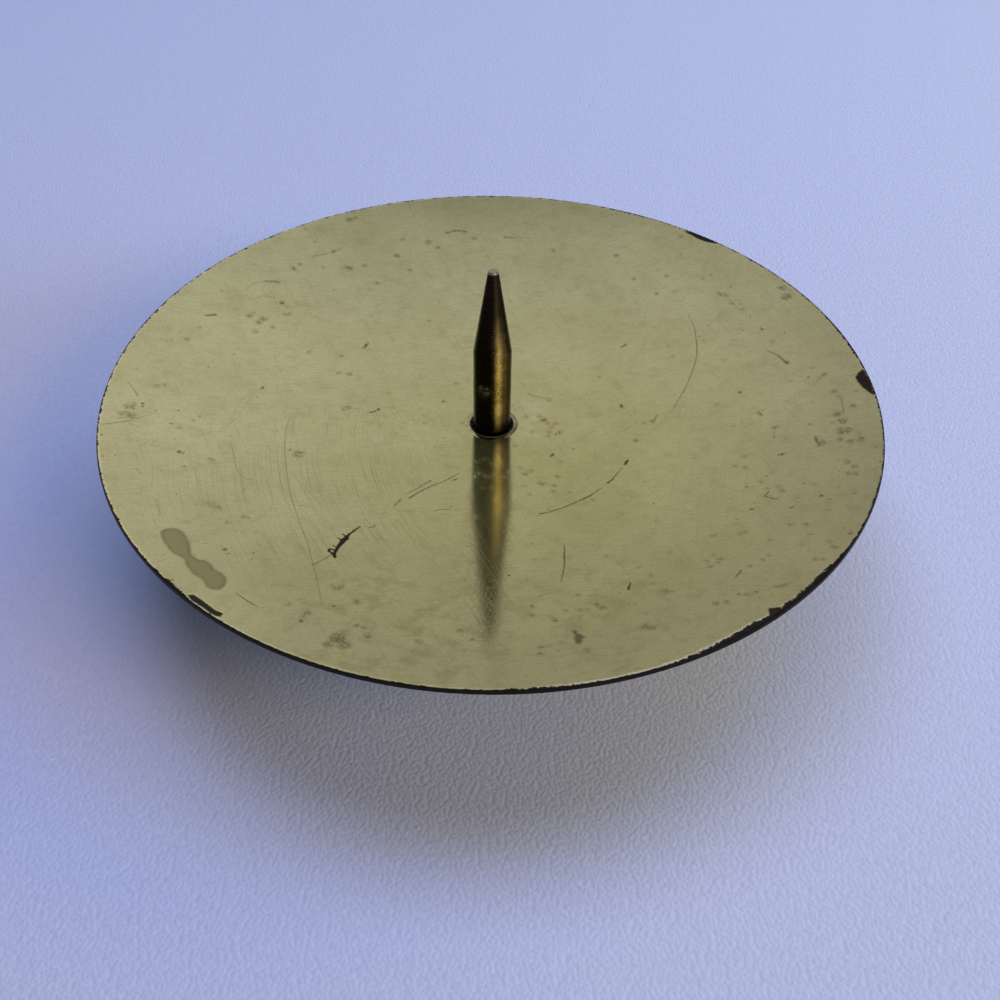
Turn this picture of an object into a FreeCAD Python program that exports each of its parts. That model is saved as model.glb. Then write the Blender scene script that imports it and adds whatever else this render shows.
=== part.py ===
import FreeCAD, Part
import math
import os

import Sketcher

# Pricket candle stand: a shallow brass drip plate on a low spun foot, with a pointed brass pin for the candle.
# Millimetres. The origin is on the table under the pin, and +Z runs up along the pin.

doc = FreeCAD.newDocument("PricketCandleStand")
sheet = doc.addObject("Spreadsheet::Sheet", "Sizes")

driving_sizes = (
    ("plate_diameter", 120.0, "outside diameter of the drip plate"),
    ("plate_sheet", 0.8, "sheet that the drip plate is pressed from"),
    ("dish_depth", 7.8, "how far the plate's edge stands above its lowest point"),
    ("plate_edge_rounding", 0.2, "rounding of the plate's cut edge"),
    ("pin_diameter", 5.9, "straight part of the pin, which the candle is pushed over"),
    ("pin_shoulder_height", 14.4, "from the plate's face at the centre to where the pin's taper starts"),
    ("pin_taper_length", 14.0, "from there to the tip"),
    ("pin_tip_diameter", 1.6, "blunt end of the taper"),
    ("pin_tip_bevel", 0.16, "bevel round the blunt end"),
    ("pin_shoulder_rounding", 3.0, "softening where the taper starts"),
    ("pin_seat_step", 0.2, "how much less the spigot in the collar measures from the axis than the straight part"),
    ("pin_mouth_short", 0.1, "how far the straight part stops above the floor of the collar's mouth"),
    ("shank_step", 0.45, "how much less the threaded shank measures from the axis than the straight part"),
    ("shank_end_chamfer", 0.5, "lead-in of the shank's thread"),
    ("shank_clearance", 0.05, "room round the shank in every piece it passes"),
    ("thread_stand_out", 1.6, "thread showing below the nut"),
    ("collar_overhang", 1.0, "how far the collar's flange reaches past the foot's neck"),
    ("collar_flange", 2.0, "thickness of that flange, with a half-round edge"),
    ("spigot_wall", 1.9, "wall of the spigot below the flange, which centres the foot"),
    ("spigot_relief", 0.1, "how far that spigot stops short of the washer"),
    ("pin_gap", 0.55, "open gap between the pin and the mouth of the collar's lip"),
    ("mouth_wall", 0.3, "wall that the mouth leaves of the tubular tenon through the plate"),
    ("mouth_depth", 0.5, "straight part of the mouth"),
    ("rivet_wall", 0.7, "wall of the tenon below the mouth, and width of its spread lip"),
    ("lip_height", 0.35, "how far the spread lip stands above the plate"),
    ("ledge_height", 1.5, "from the flange's underside to the ledge that the pin seats on"),
    ("seat_clearance", 0.05, "room round a spigot or tenon in its hole"),
    ("foot_height", 16.2, "from the felt to the top of the foot's crown"),
    ("foot_sheet", 0.8, "sheet that the foot is spun from"),
    ("base_diameter", 68.0, "widest part of the foot, at the table"),
    ("turn_in_width", 9.0, "from that widest part to the edge turned in under the foot"),
    ("base_bend", 1.2, "inside radius of the bend where the edge turns in"),
    ("skirt_straight", 1.2, "upright part of the skirt above that bend"),
    ("skirt_bend", 0.4, "inside radius of the bend at the top of the skirt"),
    ("land_width", 3.8, "flat land from that bend to where the sweep starts"),
    ("neck_diameter", 20.0, "narrowest part of the foot"),
    ("neck_cove_radius", 5.0, "hollow curve that runs into the neck"),
    ("neck_straight", 0.4, "upright part of the neck"),
    ("crown_bend", 0.6, "inside radius of the bend from the neck to the flat crown"),
    ("washer_margin", 1.1, "from the flat washer's edge to where the crown starts to bend"),
    ("washer_thickness", 1.2, "thickness of the flat washer"),
    ("washer_edge_rounding", 0.15, "rolled-over edge of the punched washer"),
    ("spring_washer_width", 2.05, "width of the spring washer's section"),
    ("spring_washer_thickness", 1.2, "thickness of that section"),
    ("spring_washer_gap", 0.7, "width of its split"),
    ("spring_washer_slant", 0.6, "how far the split leans over the thickness"),
    ("nut_wall", 1.5, "from the shank's side to the nut's flats"),
    ("nut_height", 4.0, "height of the nut"),
    ("nut_bore_chamfer", 0.35, "countersink at both ends of the nut's bore"),
    ("felt_margin", 0.8, "from the felt's outer edge to where the foot's turned-in edge starts to bend"),
    ("felt_inner_margin", 0.5, "from the felt's inner edge to the foot's opening"),
    ("felt_thickness", 1.2, "thickness of the felt"),
)
for row, (alias, value, meaning) in enumerate(driving_sizes, 1):
    sheet.set(f"A{row}", alias)
    sheet.set(f"B{row}", str(value))
    sheet.set(f"C{row}", meaning)
    sheet.setAlias(f"B{row}", alias)
doc.recompute()

# A share of the nut's width that its round faces keep, and how steeply its corners fall away from them.
NUT_FACE_SHARE = 0.95
NUT_CORNER_SLOPE_SHARE = math.tan(math.radians(30))
# Two lengths nearer than this share of the plate are the same place.
SAME_PLACE_SHARE = 1e-6


def size(expression):
    """The value in millimetres of an expression over the sheet's sizes."""
    found = sheet.evalExpression(str(expression))
    return float(getattr(found, "Value", found))


def half(alias):
    return f"(Sizes.{alias} / 2)"


def rise(ball, across):
    """How far a ball-shaped sheet of radius ball has risen at the distance across from its axis."""
    return f"({ball} - sqrt(({ball})^2 - ({across})^2))"


def new_body(label, height):
    """An empty piece whose own frame stands at this height on the pin's axis."""
    body = doc.addObject("PartDesign::Body", label)
    body.Label = label
    body.setExpression("Placement.Base.z", height)
    return body


def origin_plane(body, role):
    return next(plane for plane in body.Origin.OriginFeatures if plane.Role == role)


def new_sketch(body, name, role):
    sketch = body.newObject("Sketcher::SketchObject", name)
    sketch.AttachmentSupport = (origin_plane(body, role), "")
    sketch.MapMode = "FlatFace"
    return sketch


def bind(sketch, name, expression, kind, *where):
    """Adds one dimension to a sketch and ties it to an expression over the sheet's sizes."""
    number = sketch.addConstraint(Sketcher.Constraint(kind, *where, size(expression)))
    sketch.renameConstraint(number, name)
    sketch.setExpression(f"Constraints.{name}", str(expression))


def arc_between(start, end, radius, bulge):
    """The shorter arc from start to end, bulging to the left of the way there (+1) or to the right (-1)."""
    chord = end - start
    left = FreeCAD.Vector(-chord.y, chord.x, 0).normalize()
    back = math.sqrt(radius**2 - (chord.Length / 2) ** 2)
    centre = (start + end) * 0.5 - left * (back * bulge)
    angles = [math.atan2(point.y - centre.y, point.x - centre.x) for point in (start, end)]
    if bulge > 0:
        angles.reverse()
    if angles[1] < angles[0]:
        angles[1] += 2 * math.pi
    return Part.ArcOfCircle(Part.Circle(centre, FreeCAD.Vector(0, 0, 1), radius), *angles)


def outline(body, name, role, corners):
    """A closed outline through named corners on one of the body's planes.

    Each corner is (name, across, up), placed by two bound dimensions. One that also gives (radius, bulge) starts
    an arc to the next corner, and any other a straight side.
    """
    sketch = new_sketch(body, name, role)
    places = [FreeCAD.Vector(size(across), size(up), 0) for _, across, up, *_ in corners]
    begins, ends = [], []
    for number, (_, _, _, *arc) in enumerate(corners):
        start, end = places[number], places[(number + 1) % len(places)]
        if arc:
            side = sketch.addGeometry(arc_between(start, end, size(arc[0]), arc[1]))
            turned = arc[1] > 0
            begins.append((side, 2 if turned else 1))
            ends.append((side, 1 if turned else 2))
            bind(sketch, f"{corners[number][0]}_radius", arc[0], "Radius", side)
        else:
            side = sketch.addGeometry(Part.LineSegment(start, end))
            begins.append((side, 1))
            ends.append((side, 2))
    for number, (corner, across, up, *_) in enumerate(corners):
        sketch.addConstraint(Sketcher.Constraint("Coincident", *ends[number - 1], *begins[number]))
        bind(sketch, f"{corner}_across", across, "DistanceX", -1, 1, *begins[number])
        bind(sketch, f"{corner}_up", up, "DistanceY", -1, 1, *begins[number])
    return sketch


def circles(body, name, *radii):
    """Circles about the body's axis on its XY plane, one for each radius."""
    sketch = new_sketch(body, name, "XY_Plane")
    for number, radius in enumerate(radii):
        circle = Part.Circle(FreeCAD.Vector(0, 0, 0), FreeCAD.Vector(0, 0, 1), size(radius))
        side = sketch.addGeometry(circle)
        sketch.addConstraint(Sketcher.Constraint("Coincident", side, 3, -1, 1))
        bind(sketch, f"radius_{number}", radius, "Radius", side)
    return sketch


def turn(body, name, sketch, kind="PartDesign::Revolution"):
    """Turns an outline once round the body's upright axis."""
    feature = body.newObject(kind, name)
    feature.Profile = sketch
    feature.ReferenceAxis = (sketch, ["V_Axis"])
    feature.Angle = 360
    return feature


def pad(body, name, sketch, length):
    feature = body.newObject("PartDesign::Pad", name)
    feature.Profile = sketch
    feature.setExpression("Length", length)
    return feature


def pocket_through(body, name, sketch):
    feature = body.newObject("PartDesign::Pocket", name)
    feature.Profile = sketch
    feature.Type = "ThroughAll"
    feature.Reversed = True
    return feature


def dress(body, kind, name, width, kept_in, *places):
    """Rounds or chamfers the round edges of the body's last feature that lie at (radius, height) places."""
    doc.recompute()
    before = body.Tip
    near = size("Sizes.plate_diameter") * SAME_PLACE_SHARE
    edges = []
    for number, edge in enumerate(before.Shape.Edges, 1):
        if not isinstance(edge.Curve, Part.Circle):
            continue
        for across, up in places:
            off = abs(edge.Curve.Radius - size(across)) + abs(edge.Curve.Center.z - size(up))
            if off < near:
                edges.append(f"Edge{number}")
    if len(edges) < len(places):
        raise RuntimeError(f"{name}: found {len(edges)} of {len(places)} edges")
    feature = body.newObject(kind, name)
    feature.Base = (before, edges)
    feature.setExpression(kept_in, width)
    return feature


# Where the pieces stand, all from the table up
foot_seat = "Sizes.felt_thickness"
collar_seat = f"({foot_seat} + Sizes.foot_height)"
washer_seat = f"({collar_seat} - Sizes.foot_sheet - Sizes.washer_thickness)"
spring_washer_seat = f"({washer_seat} - Sizes.spring_washer_thickness)"
nut_seat = f"({spring_washer_seat} - Sizes.nut_height)"
pin_seat = f"({collar_seat} + Sizes.ledge_height)"

# The pin, the collar round it and what the shank passes, as distances from the axis
pin = half("pin_diameter")
pin_spigot = f"({pin} - Sizes.pin_seat_step)"
shank = f"({pin} - Sizes.shank_step)"
shank_hole = f"({shank} + Sizes.shank_clearance)"
mouth = f"({pin} + Sizes.pin_gap)"
tenon = f"({mouth} + Sizes.mouth_wall)"
collar_spigot = f"({shank_hole} + Sizes.spigot_wall)"

# The foot's outlines, likewise; each bend is its inside radius and the sheet
base = half("base_diameter")
base_corner = "(Sizes.base_bend + Sizes.foot_sheet)"
foot_opening = f"({base} - Sizes.turn_in_width)"
neck = half("neck_diameter")
crown_corner = "(Sizes.crown_bend + Sizes.foot_sheet)"

# The plate's two faces are balls about one centre, and its hole clears the collar's tenon.
under_ball = f"(({half('plate_diameter')}^2 + Sizes.dish_depth^2) / (2 * Sizes.dish_depth))"
upper_ball = f"({under_ball} - Sizes.plate_sheet)"
plate_hole = f"({tenon} + Sizes.seat_clearance)"
plate_seat = f"({collar_seat} + Sizes.collar_flange - {rise(under_ball, plate_hole)})"

# The plate's face at the centre and the top of the lip, both above the collar's underside
plate_face = f"({plate_seat} - {collar_seat} + Sizes.plate_sheet)"
lip_top = f"({plate_face} + {rise(upper_ball, plate_hole)} + Sizes.lip_height)"


def make_felt_ring():
    """A flat ring of felt glued under the foot's turned-in edge."""
    body = new_body("felt_ring", "0")
    edge = f"({base} - {base_corner} - Sizes.felt_margin)"
    ring = circles(body, "felt_outline", edge, f"({foot_opening} + Sizes.felt_inner_margin)")
    pad(body, "felt", ring, "Sizes.felt_thickness")
    return body


def make_pedestal_foot():
    """A foot spun from sheet: a turned-in edge, an upright skirt, a flat land and a sweep up to a narrow neck."""
    body = new_body("pedestal_foot", foot_seat)
    wall = "Sizes.foot_sheet"
    cove = "Sizes.neck_cove_radius"
    top = "Sizes.foot_height"
    skirt_corner = f"(Sizes.skirt_bend + {wall})"
    skirt_top = f"({base_corner} + Sizes.skirt_straight)"
    land_height = f"({skirt_top} + {skirt_corner})"
    land = f"({base} - {skirt_corner} - Sizes.land_width)"
    crown_start = f"({top} - {crown_corner})"
    neck_start = f"({crown_start} - Sizes.neck_straight)"
    hole = f"({collar_spigot} + Sizes.seat_clearance)"
    # The sweep is two arcs that share a tangent: a wide one level with the land, then the cove upright at the neck.
    run = f"({land} - {neck} - {cove})"
    climb = f"({neck_start} - {land_height})"
    wide = f"(({run}^2 + {climb}^2 - {cove}^2) / (2 * ({climb} - {cove})))"
    lean_across = f"({run} / ({wide} - {cove}))"
    lean_up = f"(({wide} - {climb}) / ({wide} - {cove}))"

    def meeting(offset):
        """Where the two arcs meet, on the outer face (offset 0) or one wall inside it."""
        across = f"({neck} + {cove} - ({cove} + {offset}) * {lean_across})"
        up = f"({neck_start} - ({cove} + {offset}) * {lean_up})"
        return across, up

    outer_meeting, inner_meeting = meeting("0"), meeting(wall)
    profile = outline(
        body,
        "foot_profile",
        "XZ_Plane",
        (
            ("turn_in_under", foot_opening, "0"),
            ("corner_under", f"{base} - {base_corner}", "0", base_corner, -1),
            ("corner_side", base, base_corner),
            ("skirt_top", base, skirt_top, skirt_corner, -1),
            ("land_edge", f"{base} - {skirt_corner}", land_height),
            ("land_end", land, land_height, wide, 1),
            ("sweep_meeting", *outer_meeting, cove, 1),
            ("neck_foot", neck, neck_start),
            ("neck_top", neck, crown_start, crown_corner, -1),
            ("crown_edge", f"{neck} - {crown_corner}", top),
            ("hole_top", hole, top),
            ("hole_under", hole, f"{top} - {wall}"),
            ("crown_inside", f"{neck} - {crown_corner}", f"{top} - {wall}", "Sizes.crown_bend", 1),
            ("neck_inside_top", f"{neck} - {wall}", crown_start),
            ("neck_inside_foot", f"{neck} - {wall}", neck_start, f"({cove} + {wall})", -1),
            ("sweep_inside", *inner_meeting, f"({wide} + {wall})", -1),
            ("land_inside", land, f"{land_height} - {wall}"),
            ("land_inside_edge", f"{base} - {skirt_corner}", f"{land_height} - {wall}", "Sizes.skirt_bend", 1),
            ("skirt_inside", f"{base} - {wall}", skirt_top),
            ("corner_inside", f"{base} - {wall}", base_corner, "Sizes.base_bend", 1),
            ("turn_in_bend", f"{base} - {base_corner}", wall),
            ("turn_in_over", foot_opening, wall),
        ),
    )
    turn(body, "foot_shell", profile)
    return body


def make_plate_collar():
    """A turned collar: its tenon goes up through the plate and is spread over it, its spigot centres the foot."""
    body = new_body("plate_collar", collar_seat)
    spigot_end = "-(Sizes.foot_sheet - Sizes.spigot_relief)"
    flange = "Sizes.collar_flange"
    flange_edge = f"({neck} + Sizes.collar_overhang)"
    flange_face = f"({flange_edge} - {flange} / 2)"
    tenon_bore = f"({tenon} - Sizes.rivet_wall)"
    lip = f"({mouth} + Sizes.rivet_wall)"
    lip_under = f"({plate_face} + {rise(upper_ball, lip)})"
    mouth_floor = f"({lip_top} - Sizes.mouth_depth)"
    profile = outline(
        body,
        "collar_profile",
        "XZ_Plane",
        (
            ("bore_under", shank_hole, spigot_end),
            ("spigot_under", collar_spigot, spigot_end),
            ("spigot_root", collar_spigot, "0"),
            ("flange_under", flange_face, "0", f"({flange} / 2)", -1),
            ("flange_edge", flange_edge, f"{flange} / 2", f"({flange} / 2)", -1),
            ("flange_over", flange_face, flange),
            ("tenon_root", tenon, flange),
            ("lip_root", tenon, lip_under),
            ("lip_edge", lip, lip_under, "Sizes.rivet_wall", -1),
            ("lip_top", mouth, lip_top),
            ("mouth_floor", mouth, mouth_floor),
            ("funnel_end", tenon_bore, f"{mouth_floor} - ({mouth} - {tenon_bore})"),
            ("ledge_rim", tenon_bore, "Sizes.ledge_height"),
            ("ledge_bore", shank_hole, "Sizes.ledge_height"),
        ),
    )
    turn(body, "collar", profile)
    return body


def make_drip_plate():
    """A shallow dish pressed from sheet, its faces two balls about one centre and its edge cut square to the sheet."""
    body = new_body("drip_plate", plate_seat)
    rim = half("plate_diameter")
    rim_height = "Sizes.dish_depth"
    upper_rim = f"({rim} * {upper_ball} / {under_ball})"
    upper_rim_height = f"({under_ball} - ({under_ball} - {rim_height}) * {upper_ball} / {under_ball})"
    profile = outline(
        body,
        "dish_profile",
        "XZ_Plane",
        (
            ("hole_under", plate_hole, rise(under_ball, plate_hole), under_ball, -1),
            ("rim_under", rim, rim_height),
            ("rim_over", upper_rim, upper_rim_height, upper_ball, 1),
            ("hole_over", plate_hole, f"Sizes.plate_sheet + {rise(upper_ball, plate_hole)}"),
        ),
    )
    turn(body, "dish", profile)
    edges = ((rim, rim_height), (upper_rim, upper_rim_height))
    dress(body, "PartDesign::Fillet", "worn_edge", "Sizes.plate_edge_rounding", "Radius", *edges)
    return body


def make_pricket_pin():
    """A turned pin: a blunt tapered point, a straight body, a spigot seated in the collar and a threaded shank."""
    body = new_body("pricket_pin", pin_seat)
    tip = half("pin_tip_diameter")
    bevel = "Sizes.pin_tip_bevel"
    chamfer = "Sizes.shank_end_chamfer"
    shank_end = f"({nut_seat} - Sizes.thread_stand_out - {pin_seat})"
    straight_start = f"({lip_top} - Sizes.mouth_depth + Sizes.pin_mouth_short - Sizes.ledge_height)"
    shoulder = f"({plate_face} - Sizes.ledge_height + Sizes.pin_shoulder_height)"
    top = f"({shoulder} + Sizes.pin_taper_length)"
    profile = outline(
        body,
        "pin_profile",
        "XZ_Plane",
        (
            ("shank_middle", "0", shank_end),
            ("shank_under", f"{shank} - {chamfer}", shank_end),
            ("shank_side", shank, f"{shank_end} + {chamfer}"),
            ("shank_root", shank, "0"),
            ("seat_under", pin_spigot, "0"),
            ("seat_top", pin_spigot, straight_start),
            ("straight_under", pin, straight_start),
            ("shoulder", pin, shoulder),
            ("tip_side", tip, f"{top} - {bevel}"),
            ("tip_top", f"{tip} - {bevel}", top),
            ("tip_middle", "0", top),
        ),
    )
    turn(body, "turned_pin", profile)
    rounding = "Sizes.pin_shoulder_rounding"
    dress(body, "PartDesign::Fillet", "soft_shoulder", rounding, "Radius", (pin, shoulder))
    return body


def make_clamp_washer():
    """A large punched washer that spreads the nut's pull over the foot's crown."""
    body = new_body("clamp_washer", washer_seat)
    edge = f"({neck} - {crown_corner} - Sizes.washer_margin)"
    pad(body, "washer", circles(body, "washer_outline", edge, shank_hole), "Sizes.washer_thickness")
    rounding = "Sizes.washer_edge_rounding"
    dress(body, "PartDesign::Fillet", "rolled_edge", rounding, "Radius", (edge, "0"))
    return body


def make_spring_washer():
    """A split spring washer, pressed flat by the nut."""
    body = new_body("spring_washer", spring_washer_seat)
    edge = f"({shank_hole} + Sizes.spring_washer_width)"
    thickness = "Sizes.spring_washer_thickness"
    pad(body, "ring", circles(body, "ring_outline", edge, shank_hole), thickness)
    gap = half("spring_washer_gap")
    lean = half("spring_washer_slant")
    split = outline(
        body,
        "split_outline",
        "XZ_Plane",
        (
            ("low_left", f"-{gap} - {lean}", "0"),
            ("low_right", f"{gap} - {lean}", "0"),
            ("high_right", f"{gap} + {lean}", thickness),
            ("high_left", f"-{gap} + {lean}", thickness),
        ),
    )
    pocket_through(body, "split", split)
    return body


def make_pin_nut():
    """A hexagon nut with chamfered corners and a countersunk bore."""
    body = new_body("pin_nut", nut_seat)
    flat = f"({shank} + Sizes.nut_wall)"
    corner = f"({flat} / cos(30))"
    height = "Sizes.nut_height"
    hexagon = outline(
        body,
        "hexagon",
        "XY_Plane",
        tuple(
            (f"corner_{turn_by}", f"{corner} * cos({turn_by})", f"{corner} * sin({turn_by})")
            for turn_by in range(0, 360, 60)
        ),
    )
    pad(body, "hexagon_block", hexagon, height)
    face = f"({flat} * {NUT_FACE_SHARE})"
    beyond = f"({corner} + {flat} * {1 - NUT_FACE_SHARE})"
    drop = f"(({beyond} - {face}) * {NUT_CORNER_SLOPE_SHARE})"
    for side, level, inward in (("lower", "0", "+"), ("upper", height, "-")):
        cut = outline(
            body,
            f"{side}_corner_profile",
            "XZ_Plane",
            (
                (f"{side}_face", face, level),
                (f"{side}_beyond", beyond, level),
                (f"{side}_drop", beyond, f"{level} {inward} {drop}"),
            ),
        )
        turn(body, f"{side}_corners", cut, "PartDesign::Groove")
    pocket_through(body, "bore", circles(body, "bore_outline", shank_hole))
    ends = ((shank_hole, "0"), (shank_hole, height))
    dress(body, "PartDesign::Chamfer", "countersinks", "Sizes.nut_bore_chamfer", "Size", *ends)
    return body


pieces = (
    make_felt_ring(),
    make_pedestal_foot(),
    make_plate_collar(),
    make_drip_plate(),
    make_pricket_pin(),
    make_clamp_washer(),
    make_spring_washer(),
    make_pin_nut(),
)
doc.recompute()

for thing in doc.Objects:
    if "Invalid" in thing.State or "Error" in thing.State:
        raise RuntimeError(f"{thing.Name} failed: {thing.State}")
for piece in pieces:
    if piece.Shape.isNull() or not piece.Shape.isValid() or len(piece.Shape.Solids) != 1:
        raise RuntimeError(f"{piece.Label} isn't one valid solid")

os.makedirs("parts", exist_ok=True)
for piece in pieces:
    piece.Shape.exportStep(f"parts/{piece.Label}.step")
    box = piece.Shape.optimalBoundingBox()
    print(f"{piece.Label}: {piece.Shape.Volume:.2f} mm3, z {box.ZMin:.3f} to {box.ZMax:.3f}, width {box.XLength:.3f}")
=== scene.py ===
import math
from bisect import bisect_left, bisect_right

import bpy
import numpy as np
from mathutils import Matrix, Vector, noise


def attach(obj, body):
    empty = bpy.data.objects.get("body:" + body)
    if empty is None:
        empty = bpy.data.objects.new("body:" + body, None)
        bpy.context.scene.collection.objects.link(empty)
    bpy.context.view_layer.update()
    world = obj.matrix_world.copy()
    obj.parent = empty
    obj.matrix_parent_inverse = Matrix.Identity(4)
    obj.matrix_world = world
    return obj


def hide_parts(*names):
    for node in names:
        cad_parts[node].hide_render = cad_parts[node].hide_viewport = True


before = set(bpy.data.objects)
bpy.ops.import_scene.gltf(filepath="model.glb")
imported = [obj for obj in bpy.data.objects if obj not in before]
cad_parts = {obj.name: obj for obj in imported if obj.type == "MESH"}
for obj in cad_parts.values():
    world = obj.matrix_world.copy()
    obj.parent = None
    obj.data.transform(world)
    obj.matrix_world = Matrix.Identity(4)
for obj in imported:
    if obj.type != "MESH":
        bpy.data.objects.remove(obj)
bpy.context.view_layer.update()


# Drip plate
# A shallow round dish pressed from 0.8 mm sheet to the shape of a ball, its edge cut square to the sheet.
# Brass-plated and buffed to a satin lustre, then worn: a water stain, scratches, pits, and a gouge and
# chips where the dark metal below the brass shows. The collar's tenon is riveted through its hole.
def linear(colour):
    """An sRGB hex colour as the linear one that a shader socket takes."""
    parts = [int(colour[i:i + 2], 16) / 255 for i in (0, 2, 4)]
    return [c / 12.92 if c <= 0.04045 else ((c + 0.055) / 1.055) ** 2.4 for c in parts] + [1.0]


def connect(node, inputs):
    """Links each named input of a node to the output given for it, or sets its value."""
    for key, value in inputs.items():
        if isinstance(value, bpy.types.NodeSocket):
            node.id_data.links.new(value, node.inputs[key])
        else:
            node.inputs[key].default_value = value


def add(tree, kind, inputs=None, stops=(), **settings):
    """Adds a node with its settings, the stops of its colour ramp if it has one, and its links."""
    node = tree.nodes.new("ShaderNode" + kind)
    for key, value in settings.items():
        setattr(node, key, value)
    for k, (position, colour) in enumerate(stops):
        ramp = node.color_ramp.elements
        stop = ramp[k] if k < 2 else ramp.new(position)
        stop.position, stop.color = position, colour
    connect(node, inputs or {})
    return node.outputs


def finish_named(name):
    """A new material with a bare node tree: the tree, its shader's node and the place in millimetres."""
    material = bpy.data.materials.new(name)
    material.use_nodes = True
    tree = material.node_tree
    shader = tree.nodes["Principled BSDF"]
    own = add(tree, "TexCoord")["Object"]
    place = add(tree, "VectorMath", {0: own, "Scale": 1000.0}, operation="SCALE")[0]
    return material, tree, shader, place


def piece_from(name, places, faces, material, node, sharp=35):
    """Makes a piece from places in millimetres, in the CAD's frame, that stands for a CAD node."""
    mesh = bpy.data.meshes.new(name)
    mesh.from_pydata([(x / 1000, y / 1000, z / 1000) for x, y, z in places], [], faces)
    mesh.update()
    mesh.shade_smooth()
    mesh.set_sharp_from_angle(angle=math.radians(sharp))
    mesh.materials.append(material)
    piece = bpy.data.objects.new(name, mesh)
    bpy.context.scene.collection.objects.link(piece)
    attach(piece, "root")
    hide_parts(node)
    return piece


# Radii of the ball that the under and upper faces lie on, its centre's height, the hole and the rim
under_ball, upper_ball, ball_height = 234.669, 233.869, 254.037
plate_hole, plate_rim, edge_rounding = 3.85, 60.0, 0.2


def flowing(stroke, steps=4):
    """The same stroke of (x, y, half width) with its corners drawn as one flowing line."""
    if len(stroke) < 3:
        return stroke
    ends = [stroke[0]] + list(stroke) + [stroke[-1]]
    line = []
    for a, b, c, d in zip(ends, ends[1:], ends[2:], ends[3:]):
        for step in range(steps):
            t = step / steps
            line.append(tuple(
                0.5 * (2 * q + (r - p) * t + (2 * p - 5 * q + 4 * r - s) * t * t
                       + (3 * q - p - 3 * r + s) * t ** 3)
                for p, q, r, s in zip(a, b, c, d)
            ))
    return line + [stroke[-1]]


def off_stroke(x, y, stroke):
    """How far each place lies outside a stroke, or a spot if it has one place only."""
    best = np.full(len(x), 1e9)
    for (ax, ay, aw), (bx, by, bw) in zip(stroke, stroke[1:] or stroke):
        dx, dy = bx - ax, by - ay
        span = dx * dx + dy * dy
        t = np.clip(((x - ax) * dx + (y - ay) * dy) / span, 0, 1) if span else np.zeros(len(x))
        best = np.minimum(best, np.hypot(x - ax - t * dx, y - ay - t * dy) - aw - t * (bw - aw))
    return best


def off_outline(x, y, outline):
    """How far each place lies outside a closed outline, negative within it."""
    best = np.full(len(x), 1e9)
    within = np.zeros(len(x), bool)
    for (ax, ay), (bx, by) in zip(outline, outline[1:] + outline[:1]):
        dx, dy = bx - ax, by - ay
        t = np.clip(((x - ax) * dx + (y - ay) * dy) / (dx * dx + dy * dy), 0, 1)
        best = np.minimum(best, np.hypot(x - ax - t * dx, y - ay - t * dy))
        within ^= ((ay > y) != (by > y)) & (x < ax + (y - ay) * dx / (dy or 1e-9))
    return np.where(within, -best, best)


# Where the brass has chipped off near the rim and the dark metal shows, each patch as its outline in mm
bare_patches = (
    [(-38.9, -44.7), (-38.3, -44.4), (-36.9, -45.4), (-36.1, -46.1), (-35.1, -47.0), (-33.9, -47.6),
     (-34.1, -48.4), (-34.8, -48.2), (-35.6, -47.7), (-36.5, -46.9), (-37.7, -46.1), (-38.4, -45.5)],
    [(35.7, -46.1), (35.9, -45.8), (36.7, -45.8), (37.3, -45.7), (37.3, -46.3), (37.8, -46.5), (36.3, -47.8),
     (35.6, -47.6)],
    [(35.3, 47.4), (36.5, 47.2), (38.2, 45.9), (39.6, 44.6), (41.4, 43.0), (40.0, 43.5), (38.6, 44.3),
     (37.5, 45.2), (36.4, 46.4)],
    [(57.7, 3.7), (58.3, 4.6), (59.2, 5.4), (59.5, 3.6), (59.7, 1.6), (59.4, -1.4), (58.8, -0.3), (58.2, 1.1),
     (57.9, 2.3)],
    [(54.0, -25.1), (54.5, -24.9), (54.6, -25.4), (53.7, -27.1), (52.9, -28.5), (52.4, -28.3), (53.1, -27.2)],
    [(46.6, -36.9), (47.3, -36.3), (47.8, -36.1), (45.9, -39.3), (43.9, -41.7), (42.3, -42.5), (42.1, -41.8),
     (43.0, -41.3), (44.2, -40.0), (45.2, -39.3)],
    [(50.7, -31.5), (51.3, -30.7), (51.5, -31.3), (50.5, -32.6), (50.2, -32.2)],
    [(33.5, -48.2), (34.4, -48.1), (35.2, -47.9), (34.7, -49.3), (33.0, -49.9), (32.2, -49.7)],
)
# The gouge: a deep ragged scratch with torn spurs, each stroke from one half width to another in mm
gouge = (
    (0.09, 0.18, (-18.7, -26.1), (-19.2, -26.9), (-19.7, -27.6), (-20.1, -28.2)),
    (0.18, 0.43, (-20.1, -28.2), (-20.4, -28.9), (-20.7, -29.6)),
    (0.43, 0.25, (-20.7, -29.6), (-21.0, -30.4), (-21.3, -31.2)),
    (0.25, 0.21, (-21.3, -31.2), (-21.5, -32.0), (-21.6, -32.7), (-21.5, -33.5)),
    (0.14, 0.07, (-20.6, -29.1), (-20.6, -28.5), (-21.0, -28.2)),
    (0.14, 0.07, (-20.9, -29.9), (-21.2, -29.3), (-21.6, -29.2)),
    (0.12, 0.07, (-20.6, -29.7), (-20.2, -29.4), (-20.0, -28.9)),
    (0.19, 0.15, (-21.6, -33.0), (-22.0, -32.6), (-22.5, -32.2)),
    (0.15, 0.12, (-22.5, -32.2), (-22.4, -31.8), (-22.0, -31.8), (-21.5, -32.2)),
    (0.22, 0.07, (-21.5, -33.2), (-21.9, -32.9), (-22.2, -32.3)),
    (0.09, 0.07, (-21.3, -31.2), (-21.7, -31.2), (-22.0, -30.8)),
)
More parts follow.
